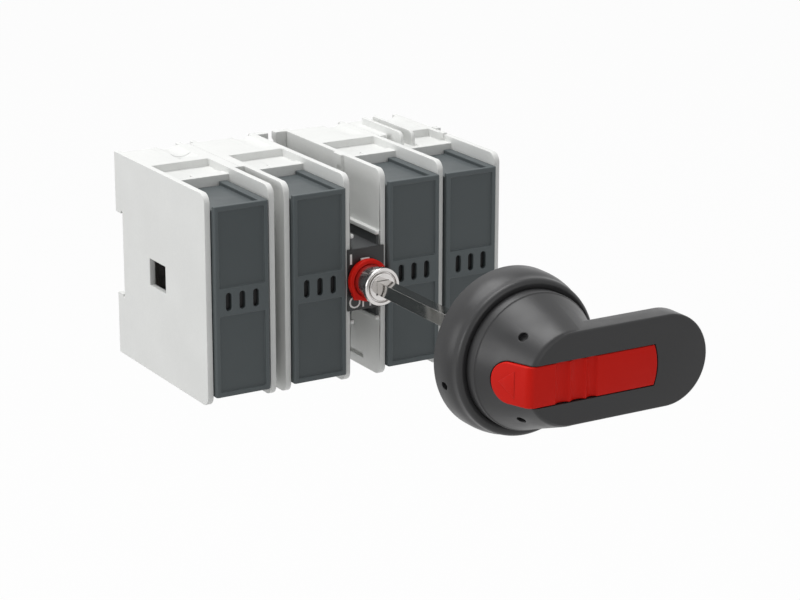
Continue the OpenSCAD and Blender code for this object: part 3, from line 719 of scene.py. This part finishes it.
    @classmethod
    def combine(
        cls, piece: Piece, tools: Iterable[Piece], operation: str = "DIFFERENCE"
    ) -> None:
        """Cuts tools out of a piece, or adds them to it, and removes them.

        Args:
            piece: The object to change.
            tools: The cutters or additions.
            operation: DIFFERENCE, UNION or INTERSECT.
        """
        for tool in tools:
            cls.modify(piece, "BOOLEAN", operation=operation, object=tool, solver="EXACT")
            bpy.data.objects.remove(tool)

    @classmethod
    def weigh(cls, piece: Piece, angle: float, seam: float) -> None:
        """Gives a bevel weight to every sharp edge outside a seam.

        Args:
            piece: The object to change.
            angle: Least angle of a sharp edge in degrees.
            seam: The X of the seam's plane.
        """
        cls.open(piece, select=False)
        bpy.ops.mesh.select_mode(type="EDGE")
        bpy.ops.mesh.edges_select_sharp(sharpness=math.radians(angle))
        bpy.ops.object.mode_set(mode="OBJECT")
        weights = piece.data.attributes.new("bevel_weight_edge", "FLOAT", "EDGE")
        for edge, weight in zip(piece.data.edges, weights.data):
            ends = [piece.data.vertices[i].co.x / MM for i in edge.vertices]
            in_seam = all(abs(x - seam) < NEAR for x in ends)
            weight.value = 1.0 if edge.select and not in_seam else 0.0

    @classmethod
    def soften(
        cls,
        piece: Piece,
        width: float,
        segments: int = 2,
        angle: float = 40,
        seam: float | None = None,
    ) -> Piece:
        """Rounds every edge sharper than an angle.

        Args:
            piece: The object to change.
            width: Width of the rounding in millimetres.
            segments: Faces across the rounding.
            angle: Least angle in degrees.
            seam: The X of a plane where the piece meets its other half, whose edges stay sharp.

        Returns:
            The same object.
        """
        if seam is not None:
            cls.weigh(piece, angle, seam)
        cls.modify(
            piece,
            "BEVEL",
            width=width * MM,
            segments=segments,
            limit_method="ANGLE" if seam is None else "WEIGHT",
            angle_limit=math.radians(angle),
            use_clamp_overlap=False,
            loop_slide=False,
        )
        return piece

    @classmethod
    def shade(cls, piece: Piece, angle: float = 32) -> None:
        """Shades a piece smooth up to an angle in degrees."""
        cls.take_up(piece)
        bpy.ops.object.shade_smooth_by_angle(angle=math.radians(angle))

    @classmethod
    def level(cls, piece: Piece) -> None:
        """Keeps a shaded piece's large flat faces evenly lit beside its roundings."""
        cls.modify(piece, "WEIGHTED_NORMAL", weight=90, keep_sharp=True)

    @classmethod
    def pick(cls, piece: Piece, test: EdgeTest) -> int:
        """Opens a piece with only the edges selected whose ends pass a test.

        Args:
            piece: The object to open.
            test: Takes an edge's two ends in millimetres.

        Returns:
            How many edges are selected.
        """
        cls.open(piece, select=False)
        bpy.ops.mesh.select_mode(type="EDGE")
        bpy.ops.object.mode_set(mode="OBJECT")
        places = [v.co / MM for v in piece.data.vertices]
        chosen = 0
        for edge in piece.data.edges:
            edge.select = test(places[edge.vertices[0]], places[edge.vertices[1]])
            chosen += edge.select
        bpy.ops.object.mode_set(mode="EDIT")
        return chosen

    @classmethod
    def round_edges(cls, piece: Piece, test: EdgeTest, width: float, segments: int) -> Piece:
        """Rounds only the edges that pass a test.

        Args:
            piece: The object to change.
            test: Takes an edge's two ends in millimetres.
            width: Width of the rounding in millimetres.
            segments: Faces across the rounding.

        Returns:
            The same object.
        """
        if cls.pick(piece, test):
            bpy.ops.mesh.bevel(
                offset=width * MM, segments=segments, affect="EDGES", clamp_overlap=True
            )
        bpy.ops.object.mode_set(mode="OBJECT")
        return piece

    @classmethod
    def words(cls, name: str, text: str, height: float, place: Point) -> Piece:
        """Sets a word that faces the front, as a thin mesh.

        Args:
            name: The piece's name.
            text: The word.
            height: Height of a capital in millimetres.
            place: Its middle, on the surface that carries it.

        Returns:
            The word as a mesh.
        """
        cls.clear()
        bpy.ops.object.text_add(location=metres(place), rotation=(math.pi / 2, 0, 0))
        piece = bpy.context.object
        piece.name = name
        piece.data.body = text
        piece.data.align_x = "CENTER"
        piece.data.align_y = "CENTER"
        piece.data.size = height / CAPITAL_SHARE * MM
        piece.data.extrude = 0.05 * MM
        piece.data.resolution_u = 4
        bpy.ops.object.convert(target="MESH")
        return cls.settle(bpy.context.object)


@dataclass
class Workshop:
    """What every sub-assembly needs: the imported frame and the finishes."""

    frame: dict[str, Any]
    finishes: Finishes
    bench: type[Bench] = Bench
    pieces: int = 0

    def node(self, name: str) -> Piece:
        """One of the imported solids."""
        return self.frame["nodes"][name]

    def middle(self, name: str) -> float:
        """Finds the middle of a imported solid.

        Args:
            name: The solid's name.

        Returns:
            Its X in millimetres.
        """
        node = self.node(name)
        across = [(node.matrix_world @ Vector(corner)).x / MM for corner in node.bound_box]
        return (min(across) + max(across)) / 2

    def keep(self, name: str, slot: Slot) -> None:
        """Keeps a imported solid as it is, with a finish.

        Args:
            name: The solid's name.
            slot: The slot of its finish.
        """
        node = self.node(name)
        self.finishes.dress(node, slot)
        self.report(node, "kept")

    def ride(self, piece: Piece, body: str, *nodes: str) -> None:
        """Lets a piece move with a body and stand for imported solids.

        Args:
            piece: The finished piece.
            body: The body's name.
            nodes: The solids that it replaces.
        """
        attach(piece, body)
        if nodes:
            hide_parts(*nodes)
        self.report(piece, body)

    def report(self, piece: Piece, note: str) -> None:
        """Logs a piece."""
        self.pieces += 1
        LOG.info("%s: %s, %d faces", piece.name, note, len(piece.data.polygons))

    def place(self, piece: Piece, slot: Slot, body: str, *nodes: str) -> None:
        """Dresses a piece and lets it move with a body."""
        self.finishes.dress(piece, slot)
        self.ride(piece, body, *nodes)

    def mould(
        self,
        node: str,
        slot: Slot,
        body: str,
        width: float,
        segments: int = 2,
        seam: float | None = None,
    ) -> None:
        """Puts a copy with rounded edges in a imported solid's place.

        Args:
            node: The solid's name.
            slot: The slot of its finish.
            body: The body that it rides.
            width: Width of the rounding.
            segments: Faces across the rounding.
            seam: The X of a plane whose edges stay sharp.
        """
        piece = self.bench.copy_of(self.node(node), f"{node}_moulding")
        self.bench.soften(piece, width, segments, seam=seam)
        self.bench.shade(piece)
        self.bench.level(piece)
        self.place(piece, slot, body, node)


@dataclass
class Housing:
    """The eight half shells, the mounting frame and the latch."""

    shop: Workshop
    edge: float = 0.32

    def build(self) -> None:
        """Builds and dresses the housing."""
        for pole in POLES:
            seam = self.shop.middle(f"fuse_link_{pole}")
            for side in ("left", "right"):
                name = f"pole_{pole}_{side}_shell"
                self.shop.mould(name, Slot.HOUSING, "base", self.edge, seam=seam)
        self.shop.mould("mounting_frame", Slot.HOUSING, "base", self.edge)
        self.shop.keep("rail_latch", Slot.MECHANISM)
        self.shop.keep("latch_spring", Slot.ZINC)


@dataclass
class Carriers:
    """The four pull-out carriers with their fuse links."""

    shop: Workshop
    edge: float = 0.4
    # Size and place of the near-black sheet that paints the shade in each carrier's slots.
    shade_sheet_half: float = 9.4
    shade_sheet_high: float = 6.0
    shade_sheet_front: float = 0.02
    shade_sheet_back: float = 0.27
    middle_z: float = 0.3

    def build(self) -> None:
        """Builds and dresses the carriers and what they hold."""
        for pole in POLES:
            name = f"fuse_carrier_{pole}"
            self.shop.mould(name, Slot.CARRIER, f"carrier_{pole}", self.edge, 3)
            self.slot_shade(pole)
            self.shop.keep(f"fuse_link_{pole}", Slot.CERAMIC)
            self.shop.keep(f"fuse_blades_{pole}", Slot.SILVER)

    def slot_shade(self, pole: int) -> None:
        """Sets a near-black sheet behind a carrier's three slots, which paints the shade in them.

        Args:
            pole: Which carrier.
        """
        x = self.shop.middle(f"fuse_link_{pole}")
        shade_sheet = self.shop.bench.block(
            f"slot_shade_sheet_{pole}",
            (x - self.shade_sheet_half, -HOUSING_D + self.shade_sheet_front, self.middle_z - self.shade_sheet_high),
            (x + self.shade_sheet_half, -HOUSING_D + self.shade_sheet_back, self.middle_z + self.shade_sheet_high),
        )
        self.shop.bench.soften(shade_sheet, 0.08, 2)
        # Painted shade: the sheet is coated near-black.
        self.shop.finishes.coat(shade_sheet, self.shop.finishes.recess_shade)
        self.shop.ride(shade_sheet, f"carrier_{pole}")


@dataclass
class Conductors:
    """Contacts, bridges, terminals and their screws."""

    shop: Workshop

    def build(self) -> None:
        """Dresses the current path."""
        for pole in POLES:
            for end in ("upper", "lower"):
                self.shop.keep(f"{end}_contact_{pole}", Slot.SILVER)
                self.shop.keep(f"{end}_terminal_{pole}", Slot.BRASS)
            self.shop.keep(f"contact_bridges_{pole}", Slot.SILVER)
        self.shop.keep("contact_bar", Slot.MECHANISM)
        self.shop.keep("terminal_screws", Slot.ZINC)


@dataclass
class Mechanism:
    """The drive between the second and the third pole, with its label and collar."""

    shop: Workshop
    label_y: float = -HOUSING_D - 0.8
    print_rise: float = 0.02
    neck_r: float = 7.45
    flange_r: float = 8.6
    flange_rim: float = 0.9
    groove: Flat = (6.35, 6.95)
    groove_deep: float = 1.3
    disc_rim: float = 0.6
    collar_back: float = -91.65
    flange_back: float = -103.6
    collar_face: float = -106.4
    socket_half: float = 3.04
    relief_r: float = 0.5

    def build(self) -> None:
        """Builds and dresses the mechanism."""
        self.shop.mould("mechanism_housing", Slot.MECHANISM, "base", 0.3)
        self.shop.keep("spindle", Slot.ZINC)
        self.shop.keep("drive_pinion", Slot.BRASS)
        self.shop.mould("indicator_ring", Slot.RED, "handle", 0.8, 4)
        self.collar()
        self.shop.keep("collar_screw", Slot.ZINC)
        self.shop.mould("square_shaft", Slot.SHAFT, "handle", 0.2, 3)
        self.label()

    def collar(self) -> None:
        """Turns the collar, its flange and the groove in its face, and cuts the shaft's hole."""
        bench = self.shop.bench
        back, flange, face = self.collar_back, self.flange_back, self.collar_face
        r, rim, disc = self.flange_r, self.flange_rim, self.disc_rim
        inner, outer = self.groove
        floor = face + self.groove_deep
        profile = [
            (0.0, back), (self.neck_r, back), (self.neck_r, flange), (r - 0.3, flange),
            (r, flange - 0.3),
            *arc((r - rim, face + rim), rim, 0, -90, 6),
            (outer + 0.2, face), (outer, face + 0.25), (outer, floor), (inner, floor),
            (inner, face + disc),
            *arc((inner - disc, face + disc), disc, 0, -90, 5),
            (0.0, face),
        ]
        piece = bench.lathe("collar_turning", profile, 128)
        half = self.socket_half
        hole = bench.block("socket", (-half, face - 1, -half), (half, face + 8, half + 0.1))
        corner = 0.1 - half
        ends = (corner, face - 1, corner), (corner, face + 3, corner)
        relief = bench.rod("relief", self.relief_r, *ends, 16)
        bench.combine(piece, [hole, relief])
        bench.shade(piece, 40)
        self.shop.place(piece, Slot.NICKEL, "handle", "shaft_collar")

    def label(self) -> None:
        """Builds the label sheet and its printed marks."""
        self.shop.mould("label_plate", Slot.LABEL, "base", 0.15)
        y = self.label_y - self.print_rise
        bench = self.shop.bench
        marks = [
            bench.block("mark_i", (-8.05, y, 7.6), (-7.05, y + 0.08, 12.3)),
            bench.words("mark_off", "OFF", 5.4, (-2.0, y, -10.3)),
        ]
        for mark in marks:
            self.shop.finishes.coat(mark, self.shop.finishes.print)
            self.shop.ride(mark, "base")
        low, high = (-2.8, self.label_y - 0.7, 8.4), (1.55, self.label_y + 0.1, 9.9)
        tab = bench.block("label_tab", low, high)
        bench.soften(tab, 0.2, 3)
        bench.shade(tab)
        self.shop.place(tab, Slot.HOUSING, "base")


@dataclass
class DoorHandle:
    """The ring on the door and the handle that turns in it.

    Heights are taken from the door along the shaft, and runs down the cone's slope from the edge
    of the lever's face. The taper is a list of insets and heights, the lip an inset and a height,
    the holes angles in degrees and heights, the seal's seat two radii, the snap ring's clip two
    heights, and the triangle a list of runs and sideways places. The web is a half length, a depth
    and a half thickness.
    """

    shop: Workshop
    ring_r: float = 34.65
    taper: tuple[Flat, ...] = ((0.12, 6.5), (0.45, 8.6), (0.9, 10.2), (1.35, 11.3), (1.6, 12.2))
    lip: Flat = (3.9, 13.9)
    lip_r: float = 2.2
    bore: float = 29.0
    hub_bore: float = 11.9
    under_h: float = 2.5
    deck_h: float = 5.5
    screw_pitch: float = 36.0
    screw_r: float = 1.65
    boss_r: float = 3.8
    ring_hole: Flat = (194.4, 6.7)
    ring_hole_r: float = 1.75
    seal: Flat = (25.0, 29.5)
    seal_deep: float = 1.5
    face: float = 46.8
    step: float = 21.0
    base_r: float = 28.4
    top_r: float = 19.3
    crown: float = 2.6
    crown_share: float = 0.72
    crown_from: float = 19.4
    wall_gap: float = 0.15
    neck_gap: float = 0.4
    clip_deep: float = 1.6
    clip: Flat = (1.0, 2.3)
    lever_r: float = 19.35
    lever_left: float = 0.9
    lever_x: float = 46.6
    lever_t: float = 11.15
    lever_edge: float = 0.9
    slide_half: float = 8.4
    slide_mid: float = -0.65
    slide_end: float = 41.5
    slide_t: float = 3.2
    bulge: float = 1.5
    gap: float = 0.35
    split: float = 20.0
    nose: float = 11.0
    kink_r: float = 4.0
    sink: float = 0.05
    dip: float = 1.3
    ridges: tuple[Flat, ...] = ((7.4, 12.5), (-0.2, 7.0), (-7.4, -0.6))
    triangle: tuple[Flat, ...] = ((15.4, 0.0), (7.6, 5.6), (7.6, -5.6))
    web: Point = (10.0, 9.6, 2.0)
    lock_hole_r: float = 2.6
    lock_hole_down: float = 4.0
    shaft_half: float = 3.1
    holes: tuple[Flat, ...] = ((132.5, 35.9), (-131.9, 35.5))
    hole_r: float = 2.05
    hole_lean: float = 68.0
    hole_deep: float = 2.2

    def build(self) -> None:
        """Builds and dresses the handle."""
        self.ring()
        self.body()
        self.slide()
        self.shop.keep("hub_clip", Slot.ZINC)
        self.shop.keep("door_seal", Slot.RUBBER)

    @staticmethod
    def out(height: float) -> float:
        """The Y of a height in front of the door."""
        return DOOR_Y - height

    def turned(self, name: str, profile: Sequence[Flat], steps: int) -> Piece:
        """Turns a profile of radii and heights."""
        return self.shop.bench.lathe(name, [(a, self.out(b)) for a, b in profile], steps)

    def ring(self) -> None:
        """Turns the door ring with its rounded lip, bosses and screw holes."""
        bench = self.shop.bench
        r, low, deck = self.ring_r, self.under_h, self.deck_h
        inset, lip_h = self.lip
        profile = [
            (self.hub_bore, low), (16.0, low), (16.0, 0.0), (r - 0.4, 0.0), (r, 0.4), (r, 4.5),
            *[(r - inward, height) for inward, height in self.taper],
            *arc((r - inset, lip_h), self.lip_r, 0, 90, 8),
            (self.bore + 0.5, 15.75), (self.bore, 15.6), (self.bore, deck), (self.hub_bore, deck),
            (self.hub_bore, low),
        ]
        piece = self.turned("door_ring_moulding", profile, 192)
        half = self.screw_pitch / 2
        spots = [(x, z) for x in (-half, half) for z in (-half, half)]

        def bars(name: str, radius: float, start: float, end: float, sides: int) -> list[Piece]:
            """One bar at each screw, between two heights."""
            ends = [((x, self.out(start), z), (x, self.out(end), z)) for x, z in spots]
            return [bench.rod(name, radius, *pair, sides) for pair in ends]

        bench.combine(piece, bars("boss", self.boss_r, deck - 0.1, 8.5, 40), "UNION")
        holes = bars("hole", self.screw_r, -1, 7.5, 32)
        angle, height = math.radians(self.ring_hole[0]), self.out(self.ring_hole[1])
        side = [(k * math.cos(angle), height, k * math.sin(angle)) for k in (r - 2, r + 1)]
        holes.append(bench.rod("hole", self.ring_hole_r, *side, 32))
        near, far = self.seal
        rim = [(near, -1), (far, -1), (far, self.seal_deep), (near, self.seal_deep), (near, -1)]
        bench.combine(piece, [*holes, self.turned("seat", rim, 96)])
        bench.shade(piece, 38)
        self.shop.place(piece, Slot.HANDLE, "base", "door_ring")

    def body(self) -> None:
        """Models the hub and the lever, with the pocket for the lock slide."""
        bench = self.shop.bench
        f, h, crown = self.face, self.step, self.crown
        wall, neck, foot = self.bore - self.wall_gap, self.hub_bore - self.neck_gap, 9.0
        groove, (low, high) = neck - self.clip_deep, self.clip
        inward = self.top_r - crown * self.crown_share
        profile = [
            (0.0, 0.5), (neck, 0.5), (neck, low), (groove, low), (groove, high), (neck, high),
            (neck, foot), (wall, foot), (wall, h - 0.3), (wall - 0.1, h - 0.05),
            (wall - 0.35, h + 0.1), (self.base_r - 0.2, h + 0.6),
            *arc((inward, f - crown), crown, self.crown_from, 90, 10),
            (0.0, f),
        ]
        piece = self.turned("handle_moulding", profile, 192)
        bench.combine(piece, [self.lever()], "UNION")
        bench.combine(piece, self.pocket())
        bench.combine(piece, self.openings())
        bench.shade(piece, 34)
        self.shop.place(piece, Slot.HANDLE, "handle", "handle_body")

    def lever(self) -> Piece:
        """The lever's rounded bar.

        Returns:
            The bar, not yet joined to the hub.
        """
        bench = self.shop.bench
        outline = [
            *arc((self.lever_x, 0.0), self.lever_r, -90, 90, 48),
            *arc((self.lever_left, 0.0), self.lever_r, 90, 270, 48),
        ]
        low, high = self.out(self.face - self.lever_t), self.out(self.face)
        piece = bench.slab("lever", [(x, low, z) for x, z in outline], (0, high - low, 0))
        return bench.round_edges(piece, lambda a, b: abs(a.y - b.y) < NEAR, self.lever_edge, 5)

    def slope(self) -> tuple[Vector, Vector, Vector]:
        """The edge between the lever's face and the cone, and the cone's way down and out.

        Returns:
            The edge's place, the way down the cone and the way out of it, as x and height.
        """
        down = Vector((self.top_r - self.base_r, self.step - self.face)).normalized()
        return Vector((-self.top_r, self.face)), down, Vector((down.y, -down.x))

    def bent(self, height: float, depth: float, radius: float) -> list[Flat]:
        """Lists the points of the rounded bend over the cone's edge, from the face to the slope.

        Args:
            height: How far above the face the bend starts.
            depth: How far below it the bend runs.
            radius: Radius of the bend.

        Returns:
            The points, as x and height.
        """
        edge, down, _ = self.slope()
        turn = math.acos(-down.x)
        level = self.face + height - depth
        x = edge.x + (depth - height + radius) * math.tan(turn / 2)
        return arc((x, level - radius), radius, 90, 90 + math.degrees(turn), 10)

    def far_end(self, extra: float) -> list[Flat]:
        """Lists the points of the slide's bulging far end.

        Args:
            extra: Gap that widens it.

        Returns:
            The points, as x and distance from its middle line.
        """
        radius = (self.slide_half**2 + self.bulge**2) / (2 * self.bulge) + extra
        reach = math.degrees(math.asin((self.slide_half + extra) / radius))
        return arc((self.slide_end - radius + extra, 0.0), radius, -reach, reach, 20)

    def raised(self, name: str, outline: Iterable[Flat], low: float, high: float) -> Piece:
        """Builds a prism that stands out of the slope.

        Args:
            name: The piece's name.
            outline: Its corners as runs down the slope and sideways places.
            low: How far above the slope it starts.
            high: How far above the slope it ends.

        Returns:
            The prism.
        """
        edge, down, up = self.slope()
        base = []
        for run, z in outline:
            spot = edge + run * down + low * up
            base.append((spot.x, self.out(spot.y), z + self.slide_mid))
        rise = (high - low) * up
        return self.shop.bench.slab(name, base, (rise.x, -rise.y, 0))

    def pocket(self) -> list[Piece]:
        """The cutters of the lock slide's pocket.

        Returns:
            The flat part with the slope, the far end and the round end of the nose.
        """
        bench = self.shop.bench
        depth = self.slide_t + self.gap
        half, middle, split = self.slide_half + self.gap, self.slide_mid, self.split
        edge, down, up = self.slope()
        foot = edge + self.nose * down
        low, high = foot - depth * up, foot + 6 * up
        outline = [
            *self.bent(0, depth, 0.8),
            tuple(low), tuple(high), (high.x - 2, self.face + 1), (split, self.face + 1),
            (split, self.face - depth),
        ]
        start = split - 0.1
        far = [(start, -half), *self.far_end(self.gap), (start, half)]
        floor = self.out(self.face - depth)
        side = [(x, self.out(h), middle - half) for x, h in outline]
        ends = [(spot.x, self.out(spot.y), middle) for spot in (low, high)]
        return [
            bench.slab("pocket", side, (0, 0, 2 * half)),
            bench.slab("pocket_end", [(x, floor, z + middle) for x, z in far], (0, -depth - 1, 0)),
            bench.rod("pocket_nose", half + 0.02, *ends, 96),
        ]

    def side_view(self) -> list[Flat]:
        """Lists the slide's outline seen from below, longer than it is at both ends.

        Returns:
            The points, as x and height.
        """
        top, past = self.face - self.sink, self.slide_end + 1.0
        edge, down, up = self.slope()
        end = edge + (self.nose + self.slide_half + 1.0) * down - self.sink * up
        outline = [(past, top)]
        for start, stop in self.ridges:
            run = (stop - start) / 2
            radius = (run**2 + self.dip**2) / (2 * self.dip)
            reach = math.degrees(math.asin(run / radius))
            centre = (start + run, top + radius - self.dip)
            outline += arc(centre, radius, -90 + reach, -90 - reach, 12)
        outline += self.bent(-self.sink, 0, self.kink_r)
        outline += [tuple(end), tuple(end - self.slide_t * up)]
        outline += reversed(self.bent(-self.sink, self.slide_t, 1.0))
        return [*outline, (past, top - self.slide_t)]

    def slide(self) -> None:
        """Models the red lock slide with its grip, its raised triangle and the padlock web."""
        bench = self.shop.bench
        half, middle, under = self.slide_half, self.slide_mid, self.face - self.sink - self.slide_t
        side = [(x, self.out(h), middle - half) for x, h in self.side_view()]
        piece = bench.slab("lock_slide_moulding", side, (0, 0, 2 * half))
        wide, past, nose, end = half + 2, self.slide_end + 3, self.nose, self.nose + half + 4
        trims = self.far_end(0.0)
        trims += [(trims[-1][0], wide), (past, wide), (past, -wide), (trims[0][0], -wide)]
        rounds = arc((nose, 0.0), half, 90, -90, 40)
        rounds += [(nose, -wide), (end, -wide), (end, wide), (nose, wide)]
        floor = self.out(under - 2)
        bench.combine(piece, [
            bench.slab(
                "far_trim", [(x, floor, z + middle) for x, z in trims], (0, -self.slide_t - 4, 0)
            ),
            self.raised("nose_trim", rounds, -self.slide_t - 2, 2),
        ])
        bench.soften(piece, 0.3, 3)
        mark = bench.soften(self.raised("triangle", self.triangle, -0.4, 0.2), 0.15, 2)
        length, deep, thick = self.web
        low = (-length, self.out(under + 0.1), -thick)
        high = (length, self.out(under - deep), thick)
        web = bench.soften(bench.block("web", low, high), 0.3, 2)
        bench.combine(piece, [mark, web], "UNION")
        height = self.out(under - self.lock_hole_down)
        hole = bench.rod("lock_hole", self.lock_hole_r, (0, height, -3), (0, height, 3), 48)
        bench.combine(piece, [hole])
        bench.shade(piece, 34)
        self.shop.place(piece, Slot.RED, "lock", "lock_slide")

    def openings(self) -> list[Piece]:
        """The cutters of the web slot, the shaft socket and the cone's holes.

        Returns:
            The cutters.
        """
        bench = self.shop.bench
        top, s = self.face - self.slide_t, self.shaft_half
        length, deep, thick = [size + self.gap for size in self.web]
        made = [
            bench.block(
                "web_slot",
                (-length, self.out(top + 1), -thick),
                (length, self.out(top - deep), thick),
            ),
            bench.block("socket", (-s, self.out(top - self.web[1]), -s), (s, self.out(-1), s)),
        ]
        lean = math.radians(self.hole_lean)
        narrowing = (self.base_r - self.top_r) / (self.face - self.step)
        for degrees, height in self.holes:
            turn = math.radians(degrees)
            along, across = math.cos(turn), math.sin(turn)
            radius = self.base_r - (height - self.step) * narrowing
            spot = Vector((radius * along, self.out(height), radius * across))
            way = Vector((math.sin(lean) * along, -math.cos(lean), math.sin(lean) * across))
            ends = tuple(spot - self.hole_deep * way), tuple(spot + 4 * way)
            made.append(bench.rod("cone_hole", self.hole_r, *ends, 40))
        return made


@dataclass(frozen=True)
class Lamp:
    """A soft square lamp: its name, its place and side in metres, and its power in watts."""

    name: str
    place: Point
    size: float
    watts: float

    def hang(self, aim: Point) -> None:
        """Hangs the lamp.

        Args:
            aim: The point that it looks at.
        """
        Bench.clear()
        bpy.ops.object.light_add(type="AREA", location=self.place)
        lamp = bpy.context.object
        lamp.name = self.name
        lamp.data.shape = "SQUARE"
        lamp.data.size = self.size
        lamp.data.energy = self.watts
        way = Vector(aim) - Vector(self.place)
        lamp.rotation_euler = way.to_track_quat("-Z", "Y").to_euler()


@dataclass
class Studio:
    """Floor, lights and the camera, in metres."""

    lens: float = 116.34
    place: Point = (-0.54584, -1.04038, 0.32467)
    right: Point = (0.86016, -0.51002, 0.00181)
    down: Point = (-0.14754, -0.25221, -0.95636)
    forward: Point = (0.48821, 0.82236, -0.29219)
    floor_z: float = -0.30
    floor_white: float = 0.96
    room_light: float = 0.34
    aim: Point = (0, -0.08, 0)
    lamps: tuple[Lamp, ...] = (
        Lamp("top_lamp", (-0.15, 0.25, 1.6), 1.2, 24.0),
        Lamp("side_lamp", (-1.6, 0.0, 0.45), 0.9, 9.0),
        Lamp("front_lamp", (0.2, -1.9, 0.5), 1.0, 4.0),
    )

    def camera(self) -> None:
        """Puts the camera where the photograph was taken."""
        bpy.ops.object.camera_add(location=self.place)
        camera = bpy.context.object
        camera.name = "portrait_camera"
        axes = Matrix((self.right, -Vector(self.down), -Vector(self.forward))).transposed()
        camera.rotation_mode = "QUATERNION"
        camera.rotation_quaternion = axes.to_quaternion()
        camera.data.sensor_width = 36.0
        camera.data.lens = self.lens
        camera.data.clip_start = 0.05
        camera.data.clip_end = 50.0
        bpy.context.scene.camera = camera

    def floor_finish(self) -> bpy.types.Material:
        """Makes the pale floor, which looks nearly white and keeps a little shadow.

        Returns:
            The material.
        """
        recipe = Recipe("studio_floor")
        cloud = recipe.spread(recipe.noise(60), 0.4, 0.6, 0, 0.3)
        recipe.finish(
            Base_Color=recipe.tinted(linear((206, 206, 206)), linear((214, 214, 214)), cloud),
            Roughness=0.8,
        )
        white = recipe.node("ShaderNodeEmission", {}, {})
        recipe.show(recipe.seen() * self.floor_white, recipe.lit, white)
        return recipe.material

    def floor(self) -> None:
        """Lays the plain pale floor."""
        Bench.clear()
        bpy.ops.mesh.primitive_plane_add(size=30, location=(0, 0, self.floor_z))
        floor = bpy.context.object
        floor.name = "studio_floor"
        Finishes.coat(floor, self.floor_finish())

    def world(self) -> None:
        """Lights the room evenly and shows it white to the camera."""
        world = bpy.data.worlds.new("studio_room")
        bpy.context.scene.world = world
        world.use_nodes = True
        tree = Tree(world.node_tree, "ShaderNodeOutputWorld")
        lit, shown = [
            tree.node("ShaderNodeBackground", {}, {"Color": (1, 1, 1, 1), "Strength": strength})
            for strength in (self.room_light, 1.0)
        ]
        tree.show(tree.seen(), lit, shown)

    def build(self) -> None:
        """Sets up the colour view, the room light, the floor and the lamps."""
        scene = bpy.context.scene
        scene.view_settings.view_transform = "Standard"
        self.world()
        self.floor()
        for lamp in self.lamps:
            lamp.hang(self.aim)


def main() -> None:
    """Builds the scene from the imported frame."""
    logging.basicConfig(level=logging.INFO, format="%(name)s: %(message)s")
    for thing in list(bpy.data.objects):
        bpy.data.objects.remove(thing)
    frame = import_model()
    studio = Studio()
    studio.camera()
    shop = Workshop(frame, Finishes())
    for assembly in (Housing, Carriers, Conductors, Mechanism, DoorHandle):
        assembly(shop).build()
    studio.build()
    LOG.info("%d pieces", shop.pieces)


if __name__ == "__main__":
    main()
